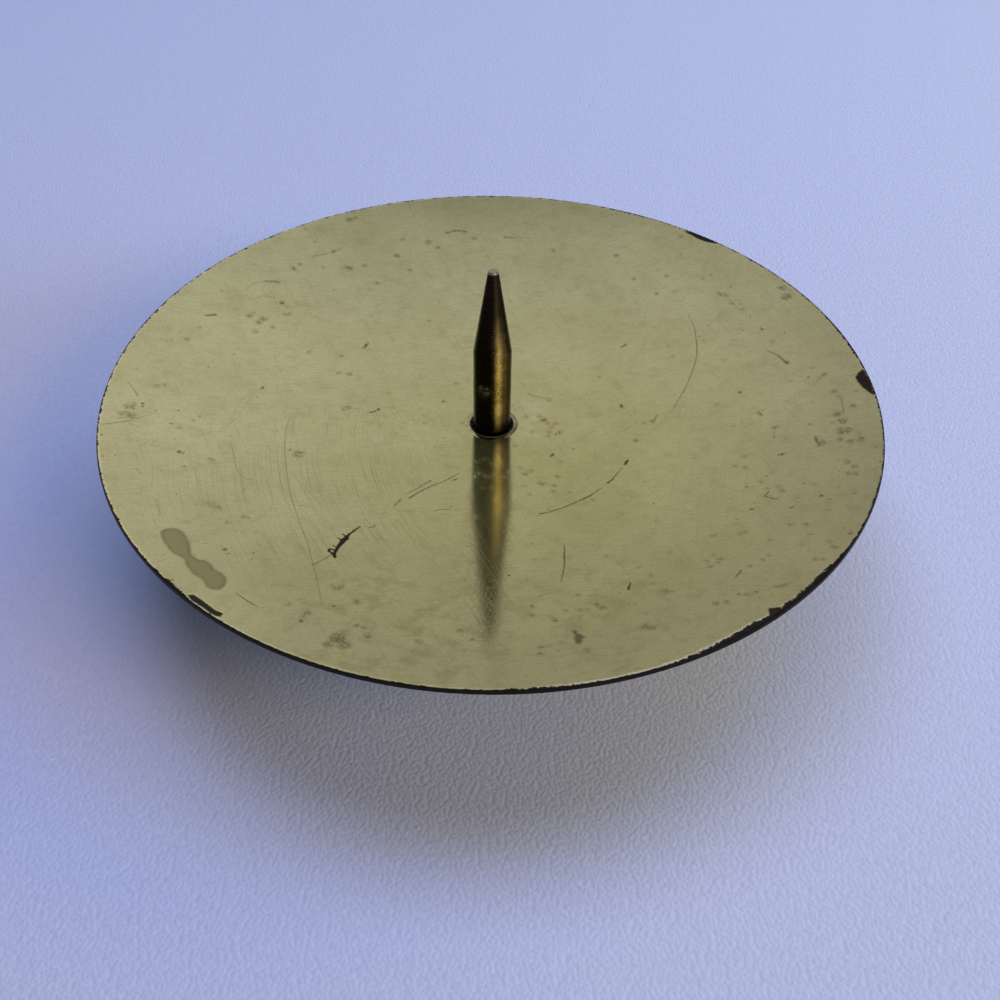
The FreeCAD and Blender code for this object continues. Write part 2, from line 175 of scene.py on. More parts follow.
# A star-shaped knock, greyed but not through
star_knock = [
    (11.0, -48.0), (11.2, -48.7), (11.6, -48.6), (11.8, -49.1), (12.3, -49.4), (11.8, -49.8), (11.6, -50.6),
    (11.3, -50.9), (10.8, -50.6), (10.7, -49.7), (10.8, -49.0), (10.6, -48.3),
]
# A dried water stain, olive with a darker outline
water_stain = [
    (-45.0, -32.2), (-44.7, -31.6), (-43.9, -31.1), (-43.0, -31.2), (-42.3, -31.8), (-41.7, -32.9),
    (-41.1, -34.0), (-40.8, -35.1), (-40.5, -36.0), (-40.0, -36.6), (-39.3, -37.2), (-38.3, -37.2),
    (-37.6, -37.7), (-37.0, -38.7), (-36.0, -39.3), (-35.3, -40.0), (-34.9, -40.9), (-35.0, -42.0),
    (-35.4, -42.7), (-36.2, -42.8), (-36.9, -42.4), (-37.3, -41.6), (-38.0, -40.8), (-38.9, -40.2),
    (-39.6, -39.4), (-40.2, -38.6), (-40.7, -37.5), (-41.3, -36.8), (-42.3, -36.4), (-43.1, -35.6),
    (-44.0, -34.4), (-44.6, -33.3),
]
# Scratches through the brass, dark with grime, each from one half width to another in mm, then its places
scratches = (
    (0.05, 0.08, (-12.6, -17.9), (-11.3, -16.7), (-10.1, -15.4), (-9.1, -14.4)),
    (0.11, 0.05, (-12.1, -18.8), (-11.2, -17.8), (-9.3, -16.0), (-7.4, -14.7), (-5.0, -12.5)),
    (0.05, 0.07, (-14.3, -21.1), (-13.8, -20.1), (-13.4, -19.2)), (0.08, 0.07, (-5.7, -14.1), (-5.1, -13.8)),
    (0.07, 0.05, (-22.2, -33.3), (-23.3, -34.6), (-24.4, -35.8)),
    (0.06, 0.05, (-17.5, -26.4), (-17.1, -26.2), (-16.8, -26.0)),
    (0.05, 0.05, (-16.9, -25.4), (-16.6, -25.7), (-16.7, -26.0)),
    (0.05, 0.05, (-8.5, -21.7), (-7.4, -21.3), (-6.0, -21.2)),
    (0.09, 0.08, (7.1, -22.0), (7.7, -21.9), (8.6, -21.6), (10.8, -20.6)),
    (0.08, 0.12, (10.8, -20.6), (12.2, -19.7), (13.6, -18.8)),
    (0.12, 0.05, (13.6, -18.8), (14.7, -18.1), (15.6, -17.1), (16.7, -16.2)),
    (0.14, 0.05, (17.5, -15.2), (18.2, -14.5), (18.8, -13.5), (20.0, -11.7)),
    (0.22, 0.22, (20.5, -10.8), (20.9, -10.0)), (0.05, 0.1, (10.4, -29.3), (10.4, -30.4), (10.3, -32.1)),
    (0.1, 0.05, (10.3, -32.1), (10.2, -34.1), (9.9, -35.9), (9.6, -37.6)),
    (0.12, 0.16, (18.9, -38.4), (18.7, -39.1), (18.5, -39.8)),
    (0.06, 0.1, (32.8, -38.7), (33.3, -38.0), (33.8, -37.3)),
    (0.07, 0.05, (40.5, -20.3), (40.1, -20.8), (39.7, -21.3)),
    (0.1, 0.05, (39.8, -21.3), (40.5, -21.8), (41.6, -22.3)),
    (0.05, 0.1, (-33.2, -43.1), (-32.2, -43.9), (-31.2, -44.7)), (0.1, 0.05, (-31.2, -44.7), (-30.0, -45.5)),
)
# Fine scratches, the longest of them two bowed ones
fine_scratches = (
    (0.05, 0.06, (-31.8, -1.5), (-32.1, -3.9), (-32.0, -6.5), (-31.6, -10.3), (-30.9, -13.6)),
    (0.06, 0.06, (-30.9, -13.6), (-30.4, -15.9), (-29.4, -19.9), (-28.2, -23.6), (-26.9, -27.3)),
    (0.06, 0.06, (-26.9, -27.3), (-25.5, -31.1), (-24.4, -34.8), (-23.2, -39.2)),
    (0.06, 0.05, (-23.2, -39.2), (-22.5, -41.8), (-21.9, -44.4)),
    (0.05, 0.05, (-39.4, -10.6), (-38.8, -12.6), (-38.1, -15.0), (-37.2, -16.7), (-36.2, -17.5),
     (-35.0, -17.6)), (0.05, 0.05, (-47.3, -25.2), (-46.6, -26.9), (-46.1, -28.3)),
    (0.05, 0.05, (-51.7, -19.0), (-51.1, -19.3), (-50.4, -20.2)),
    (0.07, 0.11, (-57.0, 0.8), (-56.1, -0.3), (-55.0, -1.9)),
    (0.09, 0.09, (-58.3, -10.4), (-56.8, -9.5), (-55.1, -8.5)),
    (0.09, 0.07, (-55.1, -8.5), (-54.1, -7.6), (-53.1, -6.7)),
    (0.05, 0.1, (34.0, 25.9), (34.3, 23.9), (34.7, 22.2), (34.7, 19.7)),
    (0.1, 0.12, (34.7, 19.7), (34.6, 17.3), (34.4, 15.2)),
    (0.12, 0.1, (34.4, 15.2), (33.8, 13.0), (33.2, 11.1), (32.4, 9.0)),
    (0.1, 0.07, (32.4, 9.0), (31.5, 6.7), (30.4, 4.6), (29.3, 2.3)),
    (0.1, 0.19, (45.7, 13.9), (46.9, 12.6), (47.6, 11.4)), (0.19, 0.29, (47.6, 11.4), (48.2, 10.2)),
    (0.12, 0.07, (54.3, -0.3), (54.7, -0.8), (54.5, -2.7), (54.3, -4.5)),
    (0.22, 0.1, (49.3, -8.9), (49.2, -9.9), (49.4, -11.2)),
    (0.05, 0.07, (46.8, -25.9), (47.3, -26.2), (48.0, -26.4)),
    (0.12, 0.1, (42.7, -24.6), (43.0, -24.5), (43.3, -24.4)),
)
# Scuffs that only just show
scuffs = (
    (0.1, 0.1, (-12.6, -19.7), (-11.2, -18.2)), (0.07, 0.05, (-24.4, -35.8), (-25.0, -36.2), (-25.7, -36.1)),
    (0.05, 0.05, (-17.5, -25.4), (-17.1, -25.5)), (0.05, 0.05, (-6.0, -21.2), (-4.8, -21.2), (-3.4, -21.1)),
    (0.05, 0.06, (-7.3, -17.5), (-6.3, -17.2), (-4.3, -17.1)),
    (0.05, 0.07, (-7.6, -8.3), (-5.5, -8.4), (-4.1, -8.1)),
    (0.05, 0.05, (-13.5, -22.0), (-11.2, -22.0), (-8.6, -21.7)), (0.1, 0.05, (20.4, -9.3), (20.7, -9.6)),
    (0.07, 0.05, (12.3, -52.3), (13.2, -53.1), (14.7, -53.3)), (0.05, 0.05, (14.7, -53.3), (15.8, -53.2)),
    (0.06, 0.06, (32.5, -42.4), (34.8, -42.1), (37.4, -41.7), (40.7, -40.8)),
    (0.06, 0.06, (32.1, -40.4), (35.0, -40.9), (37.8, -41.5), (39.2, -40.9)),
    (0.05, 0.05, (21.7, -18.0), (21.7, -18.7), (21.1, -18.8), (20.4, -18.4)),
    (0.07, 0.07, (6.6, -40.6), (7.9, -40.3), (9.5, -39.8)),
    (0.1, 0.1, (5.2, -41.5), (6.4, -40.8), (8.2, -40.0)),
    (0.12, 0.07, (-13.3, -42.0), (-12.3, -42.2), (-11.3, -42.6)),
    (0.05, 0.05, (-30.2, -14.3), (-28.9, -16.3), (-27.0, -18.7), (-23.4, -23.5)),
    (0.05, 0.05, (-29.3, -15.8), (-27.5, -19.2), (-24.9, -23.8), (-23.1, -27.9)),
    (0.05, 0.05, (-34.3, -14.2), (-32.7, -18.9), (-31.7, -22.0), (-31.6, -24.4)),
    (0.05, 0.05, (-35.3, -17.4), (-35.8, -19.7), (-37.0, -23.2)),
    (0.05, 0.05, (-34.1, -27.8), (-32.9, -28.9), (-31.6, -30.5)),
    (0.07, 0.07, (-34.8, -29.8), (-34.2, -30.3), (-33.6, -30.4)),
    (0.05, 0.05, (-48.6, -22.7), (-48.8, -20.2), (-49.3, -18.3)),
    (0.05, 0.05, (-46.8, -29.5), (-45.9, -30.9), (-45.1, -31.8)),
    (0.05, 0.05, (-51.0, -25.2), (-50.3, -24.6), (-49.6, -24.4), (-48.1, -24.8)),
    (0.06, 0.06, (-43.1, -29.7), (-42.2, -29.3), (-41.4, -28.1), (-40.5, -27.8)),
    (0.07, 0.07, (-44.3, -38.5), (-43.6, -38.4), (-43.3, -38.0)), (0.1, 0.1, (-43.9, -37.3), (-43.5, -36.7)),
    (0.05, 0.05, (-44.9, -16.7), (-44.2, -19.0), (-43.9, -21.0)),
    (0.05, 0.05, (-44.6, -15.8), (-43.3, -18.0), (-42.5, -20.3)),
    (0.07, 0.07, (-48.3, -17.2), (-47.8, -17.1)), (0.12, 0.1, (-54.7, -8.8), (-53.8, -9.2), (-53.0, -9.2)),
    (0.06, 0.06, (-54.3, -12.9), (-54.0, -11.9), (-53.6, -10.7), (-52.1, -10.7), (-52.7, -11.9),
     (-54.3, -12.9)), (0.09, 0.06, (-52.2, -13.8), (-51.7, -12.9), (-51.1, -12.1)),
    (0.05, 0.05, (-57.5, -5.6), (-56.3, -7.4), (-55.0, -7.6)),
    (0.05, 0.05, (-56.0, -6.4), (-54.8, -6.4), (-53.6, -6.7)),
    (0.1, 0.07, (-56.3, -8.0), (-55.0, -7.6), (-53.5, -7.1)),
    (0.1, 0.22, (-43.1, 28.8), (-42.6, 30.3), (-41.5, 31.4), (-40.1, 32.0)),
    (0.07, 0.05, (-37.9, 32.3), (-36.5, 33.1)), (0.14, 0.14, (-41.1, 27.4), (-39.8, 28.3), (-38.2, 28.1)),
    (0.07, 0.07, (-43.6, 5.6), (-43.2, 6.8)), (0.1, 0.1, (-54.5, 12.9), (-53.5, 12.5), (-52.6, 13.4)),
    (0.19, 0.14, (-32.6, 40.3), (-30.9, 41.2), (-29.5, 41.9), (-27.8, 43.1)),
    (0.07, 0.05, (-31.1, 15.0), (-30.5, 16.4), (-30.0, 17.6)),
    (0.14, 0.12, (-24.7, 2.4), (-23.1, 2.4), (-21.3, 2.1)),
    (0.06, 0.06, (-39.0, 3.0), (-39.9, 0.8), (-40.3, -1.7), (-40.7, -4.7)),
    (0.05, 0.05, (-38.2, 3.0), (-39.0, -0.1), (-39.8, -3.2), (-41.8, -7.5)),
    (0.11, 0.09, (3.6, 48.7), (5.2, 48.7), (6.9, 48.5)),
    (0.17, 0.11, (-29.5, 42.1), (-28.5, 42.8), (-27.7, 43.5)),
    (0.09, 0.09, (-21.0, 27.8), (-20.5, 28.9), (-19.8, 30.0)),
    (0.07, 0.07, (-21.8, 35.0), (-20.7, 34.7), (-19.6, 35.4)),
    (0.29, 0.2, (6.1, 7.5), (7.8, 6.7), (9.7, 6.2)),
    (0.08, 0.06, (29.3, 2.3), (28.0, 0.2), (26.6, -1.6), (24.3, -4.1)),
    (0.05, 0.05, (17.0, -11.1), (15.6, -12.6), (14.5, -14.0)),
    (0.14, 0.12, (41.3, 28.4), (41.7, 27.1), (42.3, 26.1), (43.1, 24.5)),
    (0.06, 0.06, (44.1, 23.7), (44.2, 22.7)), (0.12, 0.12, (44.0, -5.3), (43.6, -6.5), (43.4, -7.9)),
    (0.12, 0.1, (49.3, -8.9), (49.9, -9.0), (50.2, -9.9)), (0.12, 0.12, (56.4, 4.6), (57.8, 4.3)),
    (0.07, 0.07, (49.1, 32.0), (49.6, 31.9)), (0.24, 0.19, (49.6, 29.5), (50.6, 28.7), (51.9, 28.2)),
    (0.08, 0.08, (45.3, -29.6), (46.0, -29.7)), (0.06, 0.05, (43.1, -34.1), (43.6, -35.0), (43.9, -35.7)),
    (0.12, 0.1, (25.2, -0.6), (25.7, -0.5), (26.4, 0.6)), (0.1, 0.1, (22.3, -5.3), (23.1, -5.0)),
    (0.05, 0.05, (36.1, -13.6), (36.8, -13.4), (37.2, -12.9)), (0.05, 0.05, (28.8, 0.1), (30.4, -0.4)),
    (0.07, 0.07, (20.2, -2.9), (22.3, -1.3)),
)
# Short rubbed smears
rubbed = (
    (0.22, 0.22, (-40.1, 32.0), (-38.9, 32.3), (-37.9, 32.3)), (0.24, 0.24, (-48.6, 20.8), (-47.1, 21.4)),
    (0.2, 0.11, (2.1, 48.8), (3.6, 48.7)), (0.2, 0.2, (-8.8, 49.6), (-7.0, 50.3), (-5.1, 50.0)),
    (0.26, 0.17, (-21.9, 17.8), (-21.5, 18.8), (-21.2, 19.5)),
    (0.23, 0.14, (-19.6, 1.6), (-18.7, 2.0), (-18.2, 2.6)),
    (0.11, 0.23, (20.8, 4.3), (21.1, 3.7), (21.0, 3.3)), (0.2, 0.14, (22.0, 18.8), (22.9, 19.5)),
    (0.1, 0.1, (26.4, 0.6), (25.9, -0.4), (25.4, -0.8)), (0.14, 0.12, (25.3, -0.6), (25.9, -0.9)),
    (0.08, 0.06, (43.9, -30.7), (44.0, -31.2), (44.5, -31.1)), (0.12, 0.14, (9.2, -8.4), (9.6, -7.7)),
)
# Pits with dark grime in them: their places by radius, all in mm
pits = {
    0.07: [(35.8, -19.4)],
    0.1: [(-56.4, 4.4), (-50.0, -24.7), (-47.2, -25.3), (-24.1, -34.1), (-23.8, -16.9), (-13.4, -19.9),
        (-12.5, -14.9), (-5.9, -20.5), (8.5, -21.1), (23.1, -15.4), (48.4, -23.9), (54.0, -22.3),
        (57.0, -13.6)],
    0.12: [(-54.8, -16.9), (-39.8, -7.8), (-38.9, -33.3), (-34.3, -26.5), (2.4, -36.1), (4.9, -37.2),
        (5.9, -28.9), (6.2, -32.4), (8.5, -20.9), (9.2, -8.1), (13.0, -33.9), (14.4, -29.6), (29.0, -23.8),
        (37.8, -41.6), (39.8, 4.3), (44.2, 23.3), (48.8, -30.7), (49.3, -8.8)],
    0.14: [(-49.0, -7.1), (-46.0, 8.1), (-42.6, 12.2), (-37.2, 4.6), (-28.2, 32.2), (-7.6, -3.9),
        (5.7, -43.0), (17.3, -40.5), (21.2, 3.3), (23.1, 1.9), (35.1, -25.8), (37.6, -24.0), (37.8, -23.8),
        (38.1, -22.6), (42.5, -2.0), (42.7, -24.6), (43.4, -12.1), (44.1, -11.9), (44.2, -22.5), (45.5, 19.9),
        (48.3, -23.7), (49.1, 17.6), (52.4, -12.2), (56.8, -17.2)],
    0.15: [(-57.7, -12.7), (-56.4, -17.5), (-51.6, -4.7), (-48.8, -7.2), (-48.5, -3.8), (-45.8, -13.5),
        (-44.9, -23.3), (-34.5, -26.3), (-32.4, -35.6), (-32.4, -34.2)],
    0.16: [(45.6, -19.5), (49.3, -32.1)],
    0.17: [(-45.9, -13.7), (-45.9, -5.6), (-45.2, -4.3), (-45.1, -16.6), (-41.4, -41.9), (-37.5, 2.5),
        (-35.6, -34.9), (-7.9, 5.4), (9.7, -7.6), (12.8, -6.5), (23.9, -20.5), (40.8, -16.7)],
    0.18: [(33.7, -37.4)],
    0.19: [(32.6, -42.3), (35.0, -42.2), (37.6, -18.6), (42.1, -1.1), (50.9, 5.7)],
    0.2: [(-53.7, -4.3), (-22.4, -32.2), (22.7, 19.2), (47.5, -22.8)],
    0.22: [(-53.9, -3.5), (-20.4, -44.1), (43.0, -24.5), (43.8, -12.0)],
    0.24: [(-24.1, -47.6), (5.5, -42.7), (9.4, -7.9), (21.0, 3.6), (37.4, -23.9), (40.1, 4.4), (42.3, -1.6)],
    0.26: [(-37.0, 4.8), (-36.7, 27.0), (-21.5, 18.7), (-18.3, 2.5), (45.7, 19.5)],
    0.27: [(-53.8, -3.7), (-37.0, 5.0)],
    0.29: [(21.0, 3.8)],
    0.35: [(-36.2, -34.1)],
    0.37: [(-46.5, -13.5)],
}
# Small soft smudges of tarnish
smudges = {
    0.12: [(38.9, 35.2)],
    0.14: [(-19.8, -38.7), (22.0, -37.3), (46.6, 16.3)],
    0.16: [(43.4, -12.0), (44.2, -12.0), (49.9, -21.6)],
    0.17: [(-32.7, 44.1), (-16.0, 3.2), (7.5, -51.1), (21.9, -38.8), (37.9, -3.6), (47.1, 15.2)],
    0.18: [(38.8, -41.4), (41.7, -15.9), (43.4, -7.6)],
    0.19: [(-47.0, 27.7), (-40.6, 18.9), (-39.7, 18.7), (-35.2, 24.6), (-34.7, 47.1), (-30.6, 37.7),
        (-19.7, -39.6), (5.7, -17.5), (8.6, -52.1), (10.8, -48.2), (11.7, -17.0), (12.0, -52.1),
        (13.7, -40.7), (15.1, -19.0), (16.2, -32.2), (20.3, -35.1), (21.9, -36.8), (24.1, -40.8),
        (24.9, -32.0), (31.4, -29.1), (33.4, -42.5), (34.0, -42.6), (35.3, 19.8), (37.2, 22.3), (38.0, -14.0),
        (38.2, -14.1), (38.5, -11.4), (40.5, -19.6), (42.6, 20.1), (48.0, 5.5), (51.9, 7.9)],
    0.2: [(37.0, -35.5), (37.7, -41.5), (37.9, -34.7), (42.0, -19.7), (47.0, -20.0), (50.2, -10.3),
        (51.8, -23.3)],
    0.22: [(4.5, -10.9), (6.6, -51.4), (9.0, -50.5), (9.9, -43.9), (10.9, -32.3), (29.9, -36.0), (29.9, 18.3),
        (30.4, 15.4), (31.0, -29.1), (32.2, 32.1), (34.9, -29.3), (35.1, -36.6), (36.7, -13.4), (38.3, -11.5),
        (41.6, 27.3), (57.0, 0.4)],
    0.23: [(-11.1, 26.2), (-10.7, -0.3), (-7.9, 5.5), (-3.9, -0.5), (3.0, 32.0), (6.3, -2.1), (17.9, 11.5)],
    0.24: [(-51.7, 1.9), (-29.0, -10.7), (-24.0, -46.7), (4.9, -15.4), (5.5, -44.7), (6.3, -51.4),
        (7.8, -44.9), (8.3, -14.9), (9.4, 5.8), (10.8, -9.7), (12.3, -52.2), (12.8, -43.7), (22.9, -40.5),
        (24.2, -1.0), (25.7, -0.6), (30.7, -33.5), (33.8, -42.7), (36.0, 1.9), (37.4, 34.7), (38.2, -41.6),
        (38.4, 13.0), (39.8, -18.0), (39.8, 30.3), (39.9, -17.8), (42.1, -28.4), (42.4, -20.8), (43.2, 25.3),
        (43.6, -36.6), (43.8, -12.0), (44.2, -5.3), (44.6, -36.9), (47.3, -22.9), (49.1, -5.8), (52.4, -6.3),
        (52.4, 5.1), (55.4, -9.7)],
    0.25: [(-47.7, -7.8)],
    0.28: [(35.7, -29.0), (38.7, -31.3), (42.2, -20.5), (44.0, -28.8), (49.3, -32.0), (49.4, -11.2),
        (51.6, -22.7), (52.6, -10.3), (53.0, -19.0)],
    0.29: [(-52.7, 1.2), (-49.0, 17.5), (-41.1, 23.3), (-38.9, 22.6), (-37.4, 20.6), (-35.7, 24.3),
        (-30.8, 15.3), (-29.2, 42.2), (-26.5, 38.6), (-25.6, 10.8), (-25.4, 15.3), (-23.8, 1.8),
        (-16.9, 47.1), (-4.7, 0.0), (-2.3, -49.9), (3.3, 4.8), (3.7, -5.5), (5.5, 1.8), (6.3, -52.8),
        (7.3, -14.7), (8.3, -45.6), (8.4, 0.8), (9.4, -16.7), (9.5, -15.5), (11.1, 45.1), (11.7, -40.6),
        (11.9, -43.8), (29.6, -34.7), (30.9, -43.8), (31.0, -35.2), (31.2, 36.4), (31.4, -34.4), (34.6, 46.3),
        (41.0, 29.3), (41.7, 31.5), (46.8, 15.8), (54.4, 0.1)],
    0.3: [(-54.3, -6.7), (-42.1, -14.1), (-40.2, -24.5), (-36.9, -28.1), (-35.2, -26.5), (-30.7, -9.5),
        (-24.1, -47.7), (-23.8, -46.0)],
    0.33: [(46.2, -33.2), (52.5, -16.1)],
    0.34: [(-50.5, 14.0), (-34.7, 37.8), (-25.9, 51.6), (-25.4, 11.0), (-23.4, 39.4), (-20.8, 35.2),
        (-20.0, -40.0), (-17.6, -43.0), (-17.0, -47.9), (-16.2, -48.3), (-15.1, 39.2), (-5.9, 10.0),
        (-3.8, -48.1), (-3.6, 48.4), (6.1, -11.8), (7.7, -15.1), (8.4, -45.9), (10.1, -13.2), (14.1, -42.9),
        (22.6, -5.2), (23.3, -40.6), (25.3, 36.4), (29.1, 32.0), (29.4, -43.9), (41.9, -19.5), (43.8, -5.4),
        (48.3, 10.1), (49.6, -10.4), (52.6, -10.5), (53.3, 5.7), (54.0, 1.3)],
    0.35: [(-56.2, -6.9), (-55.8, -5.2), (-39.7, -24.6), (-26.3, -44.5)],
    0.37: [(46.6, -34.5), (49.4, -9.7), (52.1, -18.7), (53.2, -17.3)],
    0.38: [(-55.6, -6.6), (-55.1, -4.1), (-40.2, 18.8), (-36.6, 27.2), (-23.6, -45.9), (-21.1, -40.1),
        (-9.0, -50.5), (5.1, -12.4), (53.8, -11.3), (55.2, -11.3)],
    0.4: [(-38.7, -25.4), (-23.7, 10.9), (-23.2, 2.4), (-10.2, 45.6), (22.6, 42.9)],
    0.41: [(50.0, -10.6)],
    0.43: [(-41.6, 22.6), (-39.9, 21.3), (-35.8, 36.4), (-20.5, -40.4), (14.8, -43.5), (20.7, -48.1),
        (40.3, 29.9), (55.9, -3.1)],
    0.45: [(-41.7, -14.4), (-39.0, -25.1), (53.0, -8.0), (53.7, -8.9)],
    0.46: [(-17.7, 42.8)],
    0.48: [(-55.8, -5.0), (-15.5, -49.8), (50.5, 29.2), (53.3, -4.4)],
    0.5: [(-29.2, -10.1)],
    0.52: [(-27.0, 50.9), (-12.1, 46.8)],
    0.53: [(-39.3, 22.3), (-25.9, 38.3), (20.0, -47.7), (53.0, -8.9), (54.1, -8.5), (55.3, -11.1)],
    0.63: [(-54.8, -6.8), (-20.1, -52.0), (53.7, -6.3)],
    0.65: [(-55.4, -4.9), (-29.6, -10.4)],
    0.72: [(50.7, 26.7)],
    0.82: [(-18.2, -51.9)],
    0.96: [(-19.2, -50.6)],
}
# Whitish traces of wax round the pin, and a few specks
wax_specks = {
    0.17: [(-1.9, -11.1), (3.9, -35.4), (4.3, -34.4)],
    0.19: [(-2.2, -22.9)],
    0.22: [(28.8, -22.1)],
    0.23: [(-10.9, 35.7)],
    0.24: [(-1.2, -15.9), (0.1, -15.9), (0.2, -10.2)],
    0.29: [(-12.4, -19.5), (-11.2, -18.2)],
    0.3: [(2.7, -11.9), (1.3, -6.2), (-1.4, -5.8)],
    0.34: [(-12.0, -3.8), (-0.5, -9.2), (4.0, -3.8), (7.7, 3.5)],
    0.35: [(-2.1, -9.5), (-2.4, -13.2)],
    0.38: [(3.3, -4.4), (7.2, -3.0)],
    0.4: [(3.3, -5.1), (3.5, 4.7), (4.5, 3.2), (-0.1, -10.0)],
    0.43: [(4.4, -1.9)],
    0.45: [(1.7, -13.2)],
    0.46: [(5.1, 0.1)],
    0.48: [(7.1, 4.6)],
    0.5: [(-1.1, -8.8), (-1.8, -12.3)],
    0.52: [(5.3, 5.2)],
    0.53: [(6.9, 1.4)],
    0.57: [(-10.2, 35.5)],
    0.6: [(-0.7, -13.0), (0.5, -12.5)],
    0.63: [(-17.7, -5.0), (5.5, -2.4), (6.0, -0.9), (6.0, 3.7), (7.0, 1.6)],
    0.69: [(6.9, 3.6)],
    0.75: [(6.1, 4.4)],
}
# Reddish-brown traces beside the wax
rust_specks = {
    0.22: [(9.5, -1.0)],
    0.24: [(8.9, -3.1), (10.1, 0.0), (10.2, -2.7)],
    0.29: [(8.9, 0.0), (9.2, -2.2)],
    0.34: [(10.8, -2.3)],
    0.36: [(7.6, 1.8)],
    0.41: [(8.3, 1.0)],
}


def spots(places_by_radius, spread=1.0):
    """Spots as strokes of one place each."""
    return [(r * spread, r * spread, at) for r, places in places_by_radius.items() for at in places]


# Each kind of mark: its strokes, how soft its edge is and the square that shows it there, both in mm,
# and how strongly it shows in the plate's colour, gloss or depth
stroke_kinds = (
    (gouge, 0.06, 0.11, {"bare": 1.0, "depth": 0.05}),
    (scratches, 0.07, 0.14, {"dent": 0.95, "depth": 0.02}),
    (fine_scratches, 0.07, 0.16, {"dent": 0.5}),
    (scuffs, 0.1, 0.24, {"dent": 0.22}),
    (rubbed, 0.16, 0.26, {"haze": 0.85}),
    (spots(pits), 0.1, 0.15, {"dent": 0.62, "depth": 0.02}),
    (spots(smudges, 1.15), 0.4, 0.32, {"haze": 0.66}),
    (spots(wax_specks), 0.6, 0.4, {"wax": 0.65}),
    (spots(rust_specks), 0.5, 0.4, {"rust": 0.9}),
)
outline_kinds = (
    (bare_patches, 0.1, 0.16, {"bare": 1.0, "depth": 0.05}),
    ([star_knock], 0.25, 0.2, {"dent": 0.75, "depth": 0.03}),
    ([water_stain], 0.25, 0.3, {"stain": 1.0}),
)
marks = []


def note_mark(off, shape, margin, softness, size, given):
    """Notes a mark with the box round it, so that places outside the box can be passed over."""
    xs, ys = [place[0] for place in shape], [place[1] for place in shape]
    box = (min(xs) - margin, max(xs) + margin, min(ys) - margin, max(ys) + margin)
    marks.append((box, off, shape, softness, size, given))


# A mark's border wanders by up to this much, and its box leaves more room for that
wander_by, stroke_margin, outline_margin = 0.09, 0.2, 0.6
for strokes, softness, size, given in stroke_kinds:
    for first, last, *line in strokes:
        ends = max(1, len(line) - 1)
        shape = flowing([(a, b, first + (last - first) * k / ends) for k, (a, b) in enumerate(line)])
        note_mark(off_stroke, shape, max(first, last) + softness + stroke_margin, softness, size, given)
for outlines, softness, size, given in outline_kinds:
    for outline in outlines:
        note_mark(off_outline, outline, outline_margin, softness, size, given)
# The stain has dried darkest at its border, in a line 0.2 mm wide
stain_line = [(a, b, 0.1) for a, b in water_stain + water_stain[:1]]
note_mark(off_stroke, stain_line, outline_margin, 0.35, 0.26, {"haze": 0.8, "dent": 0.45})


def off_rim(x, y, width):
    """How far each place lies inwards of the worn band along the rim."""
    return plate_rim - width - np.hypot(x, y)


# The lattice is fine along the border of the worn band too, though nothing is painted from this mark
past_rim = plate_rim + 1
marks.append(((-past_rim, past_rim, -past_rim, past_rim), off_rim, 0.4, 0.25, 0.4, {}))

# The plate's section, drawn round the ball's centre as (angle from the axis, distance), from the hole
# outwards over the upper face, round the cut edge and back under to the hole
rim_angle = math.asin(plate_rim / under_ball)
corner = edge_rounding / under_ball
upper_rows, under_rows, columns, fine = 56, 28, 240, 16
section = []
start = math.asin(plate_hole / upper_ball)
for row in range(upper_rows + 1):
    section.append((start + (rim_angle - corner - start) * row / upper_rows, upper_ball))
for turn in (30, 60, 90):
    t = math.radians(turn)
    section.append((rim_angle - corner * (1 - math.sin(t)), upper_ball + edge_rounding * (1 - math.cos(t))))
for turn in (0, 30, 60, 90):
    t = math.radians(turn)
    section.append((rim_angle - corner * (1 - math.cos(t)), under_ball - edge_rounding * (1 - math.sin(t))))
start = math.asin(plate_hole / under_ball)
for row in range(1, under_rows + 1):
    section.append((rim_angle - corner + (start - rim_angle + corner) * row / under_rows, under_ball))
section = np.array(section)
around, along = columns * fine, len(section) * fine


def on_section(j):
    """The angle and distance of a row, where fine rows lie between two places of the section."""
    k = j // fine
    t = ((j % fine) / fine)[:, None]
    return (section[k % len(section)] * (1 - t) + section[(k + 1) % len(section)] * t).T


# The upper face ends past the three rows of its rounded edge. Rows from there on aren't halved along
upper_end = (upper_rows + 3) * fine
upper_step, edge_step = upper_ball * (section[1, 0] - section[0, 0]), 0.05
coarsest = 9.0
